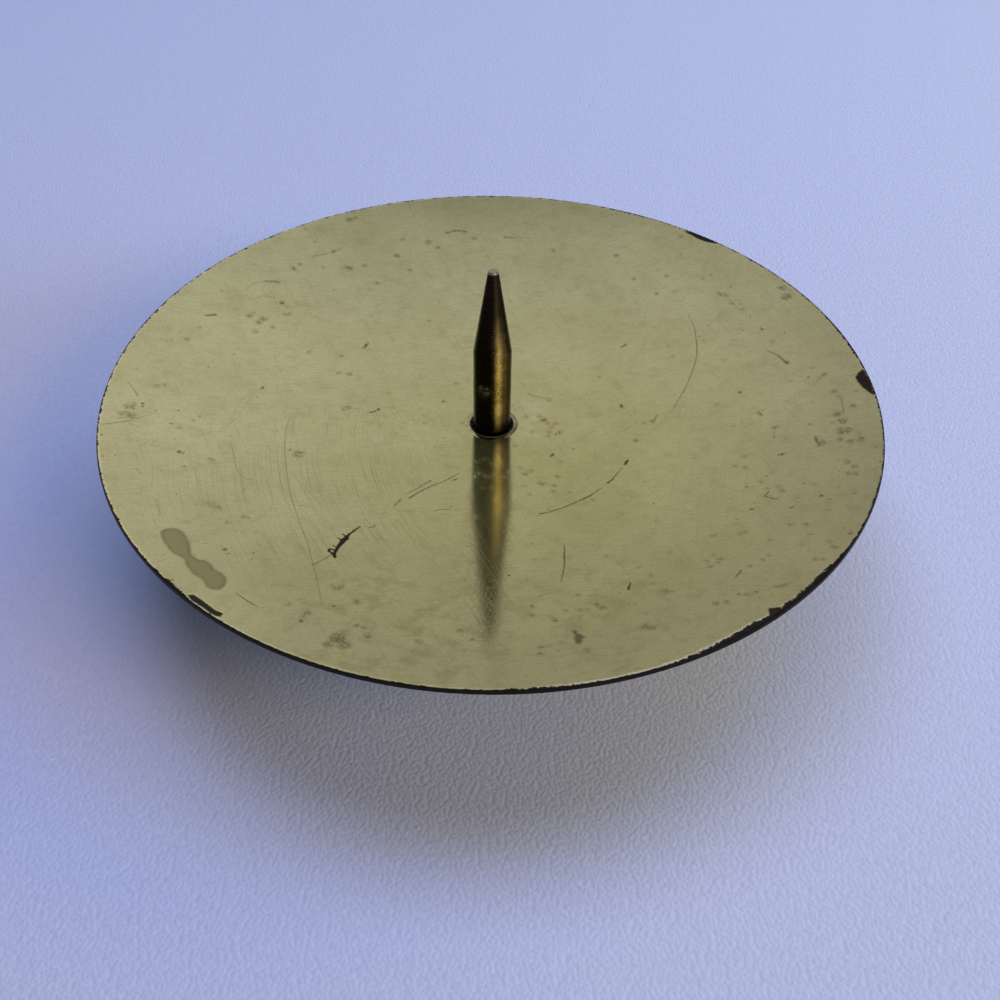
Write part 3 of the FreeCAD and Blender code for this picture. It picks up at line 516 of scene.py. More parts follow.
# Squares of the lattice, each halved round or along while it is larger than the edge of a mark needs
i, j = np.meshgrid(np.arange(0, around, fine), np.arange(0, along, fine))
cells = np.stack([i.ravel(), j.ravel(), np.full(i.size, fine), np.full(i.size, fine)], 1)
done = []
while len(cells):
    i, j, di, dj = cells.T
    angle, distance = on_section(j + dj // 2)
    turn = 2 * math.pi * (i + di / 2) / around
    x, y = distance * np.sin(angle) * np.cos(turn), distance * np.sin(angle) * np.sin(turn)
    wide = distance * np.sin(angle) * di * 2 * math.pi / around
    deep = np.where(j < upper_rows * fine, dj / fine * upper_step, edge_step)
    reach = np.hypot(wide, deep) / 2
    need = np.full(len(cells), coarsest)
    for (low_x, high_x, low_y, high_y), off, shape, softness, size, given in marks:
        near = (x > low_x - reach) & (x < high_x + reach) & (y > low_y - reach) & (y < high_y + reach)
        near &= j < upper_end
        if near.any():
            gap = off(x[near], y[near], shape)
            shows = np.abs(gap) < reach[near] + softness
            need[near] = np.where(shows, np.minimum(need[near], size), need[near])
    halve_round = (wide > need) & (di > 1)
    halve_along = (deep > need) & (dj > 1) & ~(halve_round & (wide > 2 * deep))
    whole = ~(halve_round | halve_along)
    done.append(cells[whole])
    halves = []
    for c, by_round, by_along in zip(cells[~whole], halve_round[~whole], halve_along[~whole]):
        a, b, da, db = c
        if by_round:
            da //= 2
        if by_along:
            db //= 2
        for m in range(2 if by_round else 1):
            for n in range(2 if by_along else 1):
                halves.append((a + m * da, b + n * db, da, db))
    cells = np.array(halves, int).reshape(-1, 4)
cells = np.concatenate(done)

# The corners of the cells, and for each row and column of the lattice those that lie on it
corners = {}
rings, spokes = {}, {}
for a, b, da, db in cells.tolist():
    for m, n in ((a, b), (a + da, b), (a, b + db), (a + da, b + db)):
        key = (m % around, n % along)
        if key not in corners:
            corners[key] = len(corners)
            rings.setdefault(key[1], []).append(key[0])
            spokes.setdefault(key[0], []).append(key[1])
for line in list(rings.values()) + list(spokes.values()):
    line.sort()
# Each cell is a face with the corners of its smaller neighbours taken into its sides
faces = []
for a, b, da, db in cells.tolist():
    left, right, near, far = a % around, (a + da) % around, b % along, (b + db) % along
    face = [corners[left, near]]
    line = spokes[left]
    face += [corners[left, n] for n in line[bisect_right(line, b):bisect_left(line, b + db)]]
    face.append(corners[left, far])
    line = rings[far]
    face += [corners[m, far] for m in line[bisect_right(line, a):bisect_left(line, a + da)]]
    face.append(corners[right, far])
    line = spokes[right]
    face += [corners[right, n] for n in reversed(line[bisect_right(line, b):bisect_left(line, b + db)])]
    face.append(corners[right, near])
    line = rings[near]
    face += [corners[m, near] for m in reversed(line[bisect_right(line, a):bisect_left(line, a + da)])]
    faces.append(face)

lattice = np.array(list(corners))
angle, distance = on_section(lattice[:, 1])
turn = 2 * math.pi * lattice[:, 0] / around
x, y = distance * np.sin(angle) * np.cos(turn), distance * np.sin(angle) * np.sin(turn)
upper = lattice[:, 1] < upper_end
# The borders of the marks wander in waves of 0.45 mm, and the same way in every run
waves = [[noise.noise((a * 2.2, b * 2.2, layer)) for layer in (0.0, 20.0)] for a, b in zip(x, y)]
wander = wander_by * np.array(waves)
fields = {name: np.zeros(len(x)) for name in ("dent", "bare", "haze", "wax", "rust", "stain", "depth")}
for (low_x, high_x, low_y, high_y), off, shape, softness, size, given in marks:
    near = upper & (x > low_x) & (x < high_x) & (y > low_y) & (y < high_y)
    if near.any():
        gap = off(x[near] + wander[near, 0], y[near] + wander[near, 1], shape)
        t = np.clip(0.5 - gap / (2 * softness), 0, 1)
        t = t * t * (3 - 2 * t)
        for name, strength in given.items():
            fields[name][near] = np.maximum(fields[name][near], strength * t)
distance = distance + fields.pop("depth") * upper
plate_places = np.stack([
    distance * np.sin(angle) * np.cos(turn),
    distance * np.sin(angle) * np.sin(turn),
    ball_height - distance * np.cos(angle),
], 1).tolist()

# The rim's brass has worn off its edge, over 0.25 mm in front and 0.47 mm behind. Where, in degrees from
# +X, it has gone further, by how much and over how many degrees
worn = 0.47 - 0.22 * np.clip(-np.sin(turn), 0, 1)
for at, extra, spread in (
        (-134, 0.35, 3), (-84, 0.25, 3), (-63, 0.25, 3), (-57, 0.4, 2), (-50, 0.6, 8), (-42, 0.3, 2),
        (12, 0.12, 5), (64, 0.12, 4)):
    worn += extra * np.exp(-(((np.degrees(turn) - at + 180) % 360 - 180) / spread) ** 2 / 2)
# The border of the worn band is ragged, in waves of 1.1 mm and of 0.3 mm
ragged = [noise.noise((a * 0.9, b * 0.9, 7.0)) + noise.noise((a * 3, b * 3, 8.0)) for a, b in zip(x, y)]
worn += 0.2 * np.array(ragged)
row = lattice[:, 1] / fine - upper_rows
cut_edge, fade = (row > 1.2) & (row < 6.5), 0.8
fields["edge"] = np.where(cut_edge, 1.0, np.clip((worn + np.hypot(x, y) - plate_rim) / fade + 0.5, 0, 1))

# Brass plate on pressed steel, buffed to satin: a soft grey-yellow mirror with a fine grain. Grime fills
# its scratches and pits, tarnish shows as olive smudges, and where the plate has gone the steel is
# brown-black. Handling has frosted it a little, which a mirror with 6 % of dull white under it shows
pressed_brass, tree, shader, place = finish_named("pressed_brass_plate_satin_worn")
marked = {}
for name in fields:
    marked[name] = add(tree, "Attribute", attribute_type="GEOMETRY", attribute_name=name)["Fac"]
parts = add(tree, "SeparateXYZ", {0: place})
flat = add(tree, "CombineXYZ", {"X": parts["X"], "Y": parts["Y"]})[0]
out = add(tree, "VectorMath", {0: flat}, operation="LENGTH")["Value"]

# Patina in patches 14 mm across, clouds of 3 mm and a grain of 0.3 mm
mottle = add(tree, "TexNoise", {"Vector": place, "Scale": 0.07, "Detail": 4.0, "Roughness": 0.55})["Fac"]
cloud = add(tree, "TexNoise", {"Vector": place, "Scale": 0.35, "Detail": 5.0, "Roughness": 0.65})["Fac"]
grain = add(tree, "TexNoise", {"Vector": place, "Scale": 3.0, "Detail": 3.0, "Roughness": 0.7})["Fac"]
tone = add(tree, "ValToRGB", {"Fac": mottle}, ((0.3, linear("b8b47e")), (0.7, linear("c4c08a"))))["Color"]

# Buffing and handling hairlines: lie in degrees from +X, drawn 0.15 mm wide where the real ones are 0.02
hairs = []
for lie, width, length, rare in (
        (-66, 0.16, 16.0, 0.6), (24, 0.15, 12.0, 0.63), (-20, 0.14, 9.0, 0.64), (75, 0.15, 14.0, 0.63)):
    drawn_out = {"Vector": place, "Rotation": (0, 0, math.radians(lie)), "Scale": (length, width, 999)}
    run = add(tree, "Mapping", drawn_out, vector_type="TEXTURE")[0]
    line = add(tree, "TexNoise", {"Vector": run, "Scale": 1.0, "Detail": 1.0})["Fac"]
    hairs.append(add(tree, "MapRange", {"Value": line, "From Min": rare, "From Max": rare + 0.1})[0])
# Bowed ones over the near left quarter, about a centre 60 mm to their right
bow = add(tree, "VectorMath", {0: flat, 1: (30.0, -1.0, 0.0)}, operation="SUBTRACT")[0]
away = add(tree, "VectorMath", {0: bow}, operation="LENGTH")["Value"]
ends = add(tree, "SeparateXYZ", {0: bow})
swing = add(tree, "Math", {0: ends["Y"], 1: ends["X"]}, operation="ARCTAN2")[0]
away = add(tree, "Math", {0: away, 1: 5.5}, operation="MULTIPLY")[0]
swing = add(tree, "Math", {0: swing, 1: 4.0}, operation="MULTIPLY")[0]
run = add(tree, "CombineXYZ", {"X": away, "Y": swing})[0]
bowed = add(tree, "TexNoise", {"Vector": run, "Scale": 1.0, "Detail": 2.0})["Fac"]
# Fine streaks left by wiping, across the dish, drawn 0.25 mm wide and 3 mm long
drawn_out = {"Vector": place, "Rotation": (0, 0, math.radians(8)), "Scale": (3.0, 0.25, 999)}
run = add(tree, "Mapping", drawn_out, vector_type="TEXTURE")[0]
wiped = add(tree, "TexNoise", {"Vector": run, "Scale": 1.0, "Detail": 3.0})["Fac"]
# Traces of wax break up into flecks of 0.25 mm, and tarnish creeps in fine veins about 0.2 mm wide
fleck = add(tree, "TexNoise", {"Vector": place, "Scale": 4.2, "Detail": 4.0, "Roughness": 0.75})["Fac"]
creeping = {"Vector": place, "Scale": 1.3, "Detail": 4.0, "Roughness": 0.6, "Distortion": 0.8}
vein = add(tree, "Math", {0: add(tree, "TexNoise", creeping)["Fac"], 1: 0.5}, operation="SUBTRACT")[0]
vein = add(tree, "Math", {0: vein}, operation="ABSOLUTE")[0]
# The worn band's border is frayed in notches 0.4 mm wide
fray = add(tree, "TexNoise", {"Vector": place, "Scale": 2.6, "Detail": 4.0, "Roughness": 0.7})["Fac"]
# Pinholes in the plating, about 0.2 mm across and denser towards the rim
cell = add(tree, "TexVoronoi", {"Vector": place, "Scale": 0.5})
odds = add(tree, "SeparateColor", {0: cell["Color"]})[0]
# How far round a place is from the stretch of rim at the front right where a highlight is painted on the edge
round_to_rim_highlight = add(tree, "Math", {0: parts["Y"], 1: parts["X"]}, operation="ARCTAN2")[0]
round_to_rim_highlight = add(tree, "Math", {0: round_to_rim_highlight, 1: -1.16}, operation="SUBTRACT")[0]
round_to_rim_highlight = add(tree, "Math", {0: round_to_rim_highlight}, operation="ABSOLUTE")[0]
# How far it is from the middles of the bowed hairlines, of the olive clouds of tarnish towards the front
# rim, and of the painted greener reflection right of the pin, in mm
to_bowed, to_front, to_front_right, to_painted_green = [
    add(tree, "VectorMath", {0: flat, 1: (a, b, 0.0)}, operation="DISTANCE")["Value"]
    for a, b in ((-24.0, -20.0), (-13.0, -49.0), (15.0, -45.0), (8.0, -15.0))
]

# How strongly each of these shows: by what it goes, between which values, and how much at either end
shown = {}
for name, value, start, end, low, high in (
        ("bowed", bowed, 0.55, 0.68, 0.0, 1.0),
        ("bowed here", to_bowed, 12.0, 30.0, 1.0, 0.0),
        ("pinhole", cell["Distance"], 0.03, 0.09, 0.55, 0.0),
        ("pinhole odds", out, 15.0, 58.0, 0.06, 0.5),
        ("tarnish", cloud, 0.5, 0.72, 0.0, 0.3),
        ("olive", cloud, 0.46, 0.62, 0.0, 0.26),
        ("olive in front", to_front, 7.0, 19.0, 1.0, 0.0),
        ("olive at front right", to_front_right, 5.0, 14.0, 0.8, 0.0),
        ("wiped", wiped, 0.5, 0.75, 0.0, 0.32),
        ("fleck", fleck, 0.4, 0.6, 0.1, 1.4),
        ("vein", vein, 0.0, 0.09, 1.35, 0.3),
        ("fray", fray, 0.25, 0.75, -0.38, 0.38),
        ("painted_rim_highlight", marked["edge"], 0.1, 0.3, 0.0, 0.9),
        ("painted rim highlight here", round_to_rim_highlight, 0.18, 0.35, 1.0, 0.05),
        ("dried", grain, 0.3, 0.7, 0.7, 1.0),
        ("speckle_and_side_shade", grain, 0.3, 0.7, 1.08, 1.26),
        ("green", to_painted_green, 5.0, 52.0, 0.84, 1.0),
        ("sideways", parts["X"], -60.0, 60.0, 0.0, 1.0),
        ("satin", cloud, 0.3, 0.7, 0.085, 0.125)):
    limits = {"Value": value, "From Min": start, "From Max": end, "To Min": low, "To Max": high}
    shown[name] = add(tree, "MapRange", limits)[0]
in_front = {0: shown["olive in front"], 1: shown["olive at front right"]}
in_front = add(tree, "Math", in_front, operation="MAXIMUM")[0]
chosen = add(tree, "Math", {0: odds, 1: shown["pinhole odds"]}, operation="LESS_THAN")[0]
bowed, pinhole, olive, painted_rim_highlight, stain = [
    add(tree, "Math", {0: first, 1: second}, operation="MULTIPLY")[0]
    for first, second in (
        (shown["bowed"], shown["bowed here"]), (shown["pinhole"], chosen), (shown["olive"], in_front),
        (shown["painted_rim_highlight"], shown["painted rim highlight here"]), (marked["stain"], shown["dried"]))
]
hair = bowed
for more in hairs:
    hair = add(tree, "Math", {0: hair, 1: more}, operation="MAXIMUM")[0]
bowed = add(tree, "Math", {0: bowed, 1: 0.28}, operation="MULTIPLY")[0]
fine_hair = add(tree, "Math", {0: hair, 1: 0.19}, operation="MULTIPLY")[0]
for name, broken in (("haze", shown["vein"]), ("wax", shown["fleck"]), ("rust", shown["fleck"])):
    marked[name] = add(tree, "Math", {0: marked[name], 1: broken}, operation="MULTIPLY", use_clamp=True)[0]
edge = add(tree, "Math", {0: marked["edge"], 1: shown["fray"]}, operation="ADD")[0]
edge = add(tree, "MapRange", {"Value": edge, "From Min": 0.5, "From Max": 0.62})[0]
bare = add(tree, "Math", {0: marked["bare"], 1: edge}, operation="MAXIMUM")[0]

# Laid over the brass one after another
for cover, colour in (
        (shown["tarnish"], "958e58"), (olive, "857f4c"), (bowed, "8f885a"), (shown["wiped"], "948d5c"),
        (fine_hair, "847c52"), (marked["haze"], "69613f"), (stain, "8d8656"), (pinhole, "6b6340"),
        (marked["rust"], "8c6843"), (marked["wax"], "d6d0a6"), (marked["dent"], "50472c"),
        # The pale colour on the rim's edge at the front right is a painted highlight
        (painted_rim_highlight, "e9e3c4"), (marked["bare"], "342d1f"), (edge, "2b251f")):
    tone = add(tree, "Mix", {0: cover, 6: tone, 7: linear(colour)}, data_type="RGBA")[2]
# Painted shade that darkens it from the left third towards the right edge, and a painted greener
# reflection right of the pin
levels = ((0.08, 0.97), (0.2, 0.94), (0.33, 0.85), (0.5, 0.81), (0.8, 0.77), (0.9, 0.68), (0.98, 0.6))
stops = [(position, (level, level, level, 1)) for position, level in levels]
painted_side_shade = add(tree, "ValToRGB", {"Fac": shown["sideways"]}, stops)["Color"]
speckle_and_side_shade = add(tree, "Math", {0: shown["speckle_and_side_shade"], 1: painted_side_shade}, operation="MULTIPLY")[0]
painted_greener_reflection = add(tree, "CombineXYZ", {0: 1.0, 1: 1.0, 2: shown["green"]})[0]
tone = add(tree, "VectorMath", {0: tone, 1: painted_greener_reflection}, operation="MULTIPLY")[0]
tone = add(tree, "VectorMath", {0: tone, "Scale": speckle_and_side_shade}, operation="SCALE")[0]

# Satin: 0.09 where the buffing is best, duller in smudges, hairlines and bare steel
rough = shown["satin"]
for cover, more in (
        (hair, 0.06), (marked["haze"], 0.12), (marked["stain"], 0.1), (marked["dent"], 0.25),
        (marked["wax"], 0.25), (marked["rust"], 0.25), (bare, 0.35), (pinhole, 0.2)):
    rough = add(tree, "Math", {0: cover, 1: more, 2: rough}, operation="MULTIPLY_ADD")[0]
relief = add(tree, "Math", {0: hair, 1: -0.5, 2: grain}, operation="MULTIPLY_ADD")[0]
relief = add(tree, "Math", {0: bare, 1: shown["fray"], 2: relief}, operation="MULTIPLY_ADD")[0]
bump = add(tree, "Bump", {"Height": relief, "Strength": 0.08, "Distance": 0.00003})["Normal"]
connect(shader, {"Base Color": tone, "Metallic": 0.94, "Roughness": rough, "Normal": bump})

plate = piece_from("drip_plate_worn", plate_places, faces, pressed_brass, "drip_plate")
for name, values in fields.items():
    plate.data.attributes.new(name, "FLOAT", "POINT").data.foreach_set("value", values.astype(np.float32))


# Plate collar
# A tubular brass rivet with a flange, turned in one piece. Its tenon goes up through the plate's hole and
# its mouth was spread over the plate by a punch, which left the lip a little uneven and bright.
def turned(line, columns, shape=None):
    """Turns a closed line of (radius, height) round the pin's axis; shape may shift each place a little."""
    places, faces, rows = [], [], []
    for r, z in line:
        if r == 0:
            rows.append([len(places)] * columns)
            places.append((0.0, 0.0, z))
            continue
        rows.append(list(range(len(places), len(places) + columns)))
        for column in range(columns):
            t = 2 * math.pi * column / columns
            a, b = shape(r, z, t) if shape else (r, z)
            places.append((a * math.cos(t), a * math.sin(t), b))
    closed = line[0][0] > 0
    for low, high in zip(rows, rows[1:] + (rows[:1] if closed else [])):
        for c in range(columns):
            d = (c + 1) % columns
            face = [low[c], low[d], high[d], high[c]]
            face = [v for k, v in enumerate(face) if v != face[k - 1]]
            if len(face) > 2:
                faces.append(face)
    return places, faces


def arc(r, z, radius, start, end, steps):
    """Places on an arc round (r, z) between two angles in degrees."""
    return [
        (r + radius * math.cos(math.radians(start + (end - start) * k / steps)),
         z + radius * math.sin(math.radians(start + (end - start) * k / steps)))
        for k in range(steps + 1)
    ]


# Half widths and heights in mm. The tenon ends in the spread lip, and the pin sits on a ledge in the bore
shank_bore, pin_bore, tenon, spigot, flange = 2.55, 3.1, 3.8, 4.45, 11.0
collar_bottom, flange_under, pin_ledge, flange_over, tenon_top = 16.7, 17.4, 18.9, 19.4, 20.1
flange_half = (flange_over - flange_under) / 2
lip_start, lip_under, burr_start, mouth, mouth_bottom, mouth_slope = 3.4, 20.19, 3.6, 3.43, 20.05, 19.65
spread_lip = [
    (4.1, 20.17), (4.3, 20.195), (4.15, 20.218), (4.0, 20.24), (3.85, 20.258), (3.7, 20.27), (3.58, 20.274),
    (3.5, 20.268), (3.45, 20.25), (mouth, 20.21),
]
collar_line = (
    [(shank_bore, collar_bottom), (spigot, collar_bottom), (spigot, flange_under)]
    + arc(flange - flange_half, flange_under + flange_half, flange_half, -90, 90, 12)
    + [(tenon, flange_over), (tenon, tenon_top)] + spread_lip
    + [(mouth, mouth_bottom), (pin_bore, mouth_slope), (pin_bore, pin_ledge), (shank_bore, pin_ledge)]
)


def punched_lip(r, z, t):
    """Lowers and narrows the lip where the punch pressed harder, and burrs its mouth in front."""
    if z < lip_under or r < lip_start:
        return r, z
    uneven = abs(noise.noise((2.1 * math.cos(t), 2.1 * math.sin(t), 4.0)))
    small = abs(noise.noise((7 * math.cos(t), 7 * math.sin(t), 9.0)))
    if r < burr_start:
        r -= 0.16 * max(0.0, -math.sin(t)) ** 2 * (burr_start - r) / (burr_start - mouth)
    return r - 0.12 * uneven * max(r - lip_start, 0.0), z - 0.015 * uneven - 0.01 * small


# Brass, turned and then punched over: satin like the plate round it, browner in patches 0.9 mm across,
# and its mouth round the pin is painted near black, as old grime and the shade of the gap there, which
# also dulls it
riveted_brass, tree, shader, place = finish_named("turned_brass_riveted")
patch = add(tree, "TexNoise", {"Vector": place, "Scale": 1.1, "Detail": 4.0, "Roughness": 0.65})["Fac"]
tone = add(tree, "ValToRGB", {"Fac": patch}, ((0.35, linear("8a8258")), (0.62, linear("b3ad7c"))))["Color"]
parts = add(tree, "SeparateXYZ", {0: place})
flat = add(tree, "CombineXYZ", {"X": parts["X"], "Y": parts["Y"]})[0]
out = add(tree, "VectorMath", {0: flat}, operation="LENGTH")["Value"]
limits = {"Value": out, "From Min": 3.44, "From Max": 3.6, "To Min": 1.0, "To Max": 0.0}
grime_and_shade = add(tree, "MapRange", limits)[0]
brown = add(tree, "VectorMath", {0: place, 1: (3.5, -1.9, 20.5)}, operation="DISTANCE")["Value"]
limits = {"Value": brown, "From Min": 0.8, "From Max": 2.0, "To Min": 0.75, "To Max": 0.0}
brown = add(tree, "MapRange", limits)[0]
# The mouth's near black is grime and painted shade of the gap round the pin
for cover, colour in ((brown, "675a45"), (grime_and_shade, "3d3427")):
    tone = add(tree, "Mix", {0: cover, 6: tone, 7: linear(colour)}, data_type="RGBA")[2]
metal = add(tree, "MapRange", {"Value": grime_and_shade, "To Min": 1.0, "To Max": 0.2})[0]
rough = add(tree, "MapRange", {"Value": patch, "To Min": 0.12, "To Max": 0.26})[0]
rough = add(tree, "Math", {0: grime_and_shade, 1: 0.4, 2: rough}, operation="MULTIPLY_ADD")[0]
bump = add(tree, "Bump", {"Height": patch, "Strength": 0.3, "Distance": 0.00005})["Normal"]
connect(shader, {"Base Color": tone, "Metallic": metal, "Roughness": rough, "Normal": bump})
places, faces = turned(collar_line, 144, punched_lip)
piece_from("plate_collar_riveted", places, faces, riveted_brass, "plate_collar")


# Pedestal foot
# A low trumpet foot spun from 0.8 mm brass sheet over a former, its bottom edge turned inwards as a seat
# for the felt. The pin's thread passes through its crown and the nut clamps it up against the collar.

foot_sheet, felt_thickness = 0.8, 1.2
# Half widths, heights over the felt and bends of its outer face in mm, from the land at its base over the
# skirt's edge and up the sweep and the cove to the crown
land, base, base_bend, skirt, skirt_bend = 25.0, 34.0, 2.0, 4.4, 1.2
sweep_out, sweep, cove, cove_height, neck = 29.0, 27.1, 5.0, 14.4, 10.0
crown, crown_bend, crown_opening = 16.2, 1.4, 4.5
# The angle at which the sweep and the cove meet
meeting = 230.7


def foot_wall(wall):
    """The foot's outer line for a wall of zero, or its inner line, from the land up to the crown."""
    return (
        [(land, wall)] + arc(base - base_bend, base_bend, base_bend - wall, -90, 0, 8)
        + arc(base - skirt_bend, skirt - skirt_bend, skirt_bend - wall, 0, 90, 6)
        + arc(sweep_out, skirt + sweep, sweep + wall, 270, meeting, 26)
        + arc(neck + cove, cove_height, cove + wall, meeting, 180, 9)
        + arc(neck - crown_bend, crown - crown_bend, crown_bend - wall, 0, 90, 8)
        + [(crown_opening, crown - wall)]
    )


foot_line = [(r, z + felt_thickness) for r, z in foot_wall(0.0) + foot_wall(foot_sheet)[::-1]]
# Brass as it leaves the lathe's burnisher: a satin sheen drawn out along fine rings 0.4 mm apart, and
# patches of duller yellow 8 mm across
spun_brass, tree, shader, place = finish_named("spun_brass_satin")
patch = add(tree, "TexNoise", {"Vector": place, "Scale": 0.12, "Detail": 4.0})["Fac"]
tint = add(tree, "ValToRGB", {"Fac": patch}, ((0.3, linear("bfb07c")), (0.7, linear("cdc18c"))))["Color"]
parts = add(tree, "SeparateXYZ", {0: place})
flat = add(tree, "CombineXYZ", {"X": parts["X"], "Y": parts["Y"]})[0]
out = add(tree, "VectorMath", {0: flat}, operation="LENGTH")["Value"]
rings_in = add(tree, "CombineXYZ", {"X": parts["Z"], "Y": out})[0]
ring = add(tree, "TexNoise", {"Vector": rings_in, "Scale": 2.5, "Detail": 3.0})["Fac"]
rough = add(tree, "MapRange", {"Value": ring, "To Min": 0.2, "To Max": 0.34})[0]
bump = add(tree, "Bump", {"Height": ring, "Strength": 0.12, "Distance": 0.00002})["Normal"]
connect(shader, {"Base Color": tint, "Metallic": 1.0, "Roughness": rough, "Normal": bump})
places, faces = turned(foot_line, 160)
piece_from("pedestal_foot_spun", places, faces, spun_brass, "pedestal_foot")


# Pricket pin
# The spike that holds the candle, turned from 6 mm brass rod and polished: a straight part, a long taper
# and a small flat tip. Its shank below is threaded M5 and takes the nut.

# Half widths and heights in mm: the shank with its thread, the groove where that runs out, the spigot in
# the collar and the spike
shank, shank_bottom, shank_chamfer, thread_start, thread_end = 2.5, 8.6, 0.5, 9.0, 17.8
groove, pin_spigot, spike, shoulder, spike_start = 2.4, 2.75, 2.95, 20.15, 20.3
ease, taper_start, taper_half, point_half = 3.0, 34.8, 2.915, 0.8
rings_end, point, tip = 48.4, 48.408, 48.568
pitch, thread_depth, run_out = 0.8, 0.43, 0.6
thread_step, spike_step, taper_steps = 0.1, 0.22, 62
pin_line = [(0.0, shank_bottom), (shank - shank_chamfer, shank_bottom)]
pin_line += [(shank - shank_chamfer / 2, (shank_bottom + thread_start) / 2)]
pin_line += [(shank, thread_start + thread_step * k) for k in range(88)]
pin_line += [(groove, thread_end), (groove, pin_ledge), (pin_spigot, pin_ledge), (pin_spigot, shoulder)]
pin_line += [(spike, shoulder)] + [(spike, spike_start + spike_step * k) for k in range(64)]
# The straight part eases into the taper
pin_line += arc(spike - ease, 34.336, ease, 0, 8.83, 4)
for k in range(1, taper_steps + 1):
    t = k / taper_steps
    pin_line.append((taper_half + (point_half - taper_half) * t, taper_start + (point - taper_start) * t))
pin_line += [(0.74, 48.49), (0.64, tip), (0.3, tip), (0.0, tip)]


def cut(r, z, t):
    """Cuts the thread into the shank, and the lathe's fine rings into the spike."""
    if thread_start <= z < thread_end and r == shank:
        turn = (z / pitch - t / (2 * math.pi)) % 1.0
        full = min(1.0, (z - thread_start + 0.1) / run_out, (thread_end - z) / run_out)
        return r - thread_depth * full * (1 - abs(2 * turn - 1)), z
    if spike_start <= z < rings_end:
        wide, narrow = noise.noise((z * 2.9, 0.0, 5.0)), noise.noise((z * 9.0, 1.0, 5.0))
        return r - 0.006 * abs(wide) - 0.004 * abs(narrow), z
    return r, z


# Brass, turned and polished, then darkened by years of wax and heat: a deep old gold that mirrors sharply,
# with the lathe's fine rings 0.2 mm apart, patches and crumbs of soot of 1.1 and 0.25 mm, a dull greenish
# band and a crust of verdigris. Painted shade and dark reflection cover it all round but for a strip at the
# right front, and grime with painted shade darkens its foot
polished_brass, tree, shader, place = finish_named("turned_brass_polished_aged")
patch = add(tree, "TexNoise", {"Vector": place, "Scale": 0.9, "Detail": 5.0, "Roughness": 0.6})["Fac"]
tone = add(tree, "ValToRGB", {"Fac": patch}, ((0.35, linear("927d55")), (0.65, linear("bfa678"))))["Color"]
parts = add(tree, "SeparateXYZ", {0: place})
rings_in = add(tree, "Mapping", {"Vector": place, "Scale": (0.5, 0.5, 4.5)})[0]
ring = add(tree, "TexNoise", {"Vector": rings_in, "Scale": 1.0, "Detail": 2.0})["Fac"]
crumb = add(tree, "TexNoise", {"Vector": place, "Scale": 4.0, "Detail": 3.0})["Fac"]
# Painted shade and dark reflection all round, with a grainy border, leaving the gold only in a narrow strip
# at the right front, where the highlight falls
flat = add(tree, "CombineXYZ", {"X": parts["X"], "Y": parts["Y"]})[0]
facing_highlight_strip = add(tree, "VectorMath", {0: flat}, operation="NORMALIZE")[0]
facing_highlight_strip = add(tree, "VectorMath", {0: facing_highlight_strip, 1: (0.5, -0.866, 0.0)}, operation="DOT_PRODUCT")["Value"]
facing_highlight_strip = add(tree, "Math", {0: crumb, 1: 0.22, 2: facing_highlight_strip}, operation="MULTIPLY_ADD")[0]
# The band lies round the spike at 28.3 mm, and the crust on the left of it
to_band = add(tree, "Math", {0: parts["Z"], 1: 28.3}, operation="SUBTRACT")[0]
to_band = add(tree, "Math", {0: to_band}, operation="ABSOLUTE")[0]
to_crust = add(tree, "VectorMath", {0: place, 1: (-1.25, -2.67, 28.7)}, operation="DISTANCE")["Value"]
shown = {}
for name, value, start, end, low, high in (
        # Painted shade and dark reflection all round, but for the strip that faces the right front
        ("painted_shade_and_reflection", facing_highlight_strip, 0.93, 1.06, 0.94, 0.0),
        ("band", to_band, 0.6, 2.2, 0.6, 0.0),
        ("band crumbs", crumb, 0.35, 0.6, 0.0, 1.0),
        ("crust", to_crust, 0.5, 1.3, 1.0, 0.0),
        ("crust crumbs", crumb, 0.48, 0.6, 0.0, 1.0),
        ("smoke", parts["Z"], 33.5, 42.0, 0.0, 0.93),
        # Grime and painted shade darken the pin's foot, where it meets the collar
        ("grime_and_shade", parts["Z"], 21.5, 25.0, 0.93, 0.0),
        ("point", parts["Z"], 48.25, 48.4, 0.0, 1.0),
        ("polish", patch, 0.3, 0.7, 0.14, 0.24)):
    limits = {"Value": value, "From Min": start, "From Max": end, "To Min": low, "To Max": high}
    shown[name] = add(tree, "MapRange", limits)[0]
band = add(tree, "Math", {0: shown["band"], 1: shown["band crumbs"]}, operation="MULTIPLY")[0]
crust = add(tree, "Math", {0: shown["crust"], 1: shown["crust crumbs"]}, operation="MULTIPLY")[0]
for cover, colour in (
        (shown["painted_shade_and_reflection"], "2e2315"), (shown["smoke"], "2a2219"), (shown["grime_and_shade"], "241b10"), (band, "4f4a2a"),
        (crust, "8f9478"), (shown["point"], "a09a7c")):
    tone = add(tree, "Mix", {0: cover, 6: tone, 7: linear(colour)}, data_type="RGBA")[2]
rough = shown["polish"]
for cover, more in ((band, 0.25), (crust, 0.4), (shown["smoke"], 0.1)):
    rough = add(tree, "Math", {0: cover, 1: more, 2: rough}, operation="MULTIPLY_ADD")[0]
relief = add(tree, "Math", {0: crust, 1: 6.0, 2: ring}, operation="MULTIPLY_ADD")[0]
relief = add(tree, "Math", {0: crumb, 1: 1.4, 2: relief}, operation="MULTIPLY_ADD")[0]
bump = add(tree, "Bump", {"Height": relief, "Strength": 0.55, "Distance": 0.00005})["Normal"]
connect(shader, {"Base Color": tone, "Metallic": 1.0, "Roughness": rough, "Normal": bump})
places, faces = turned(pin_line, 96, cut)
piece_from("pricket_pin_turned", places, faces, polished_brass, "pricket_pin", 30)


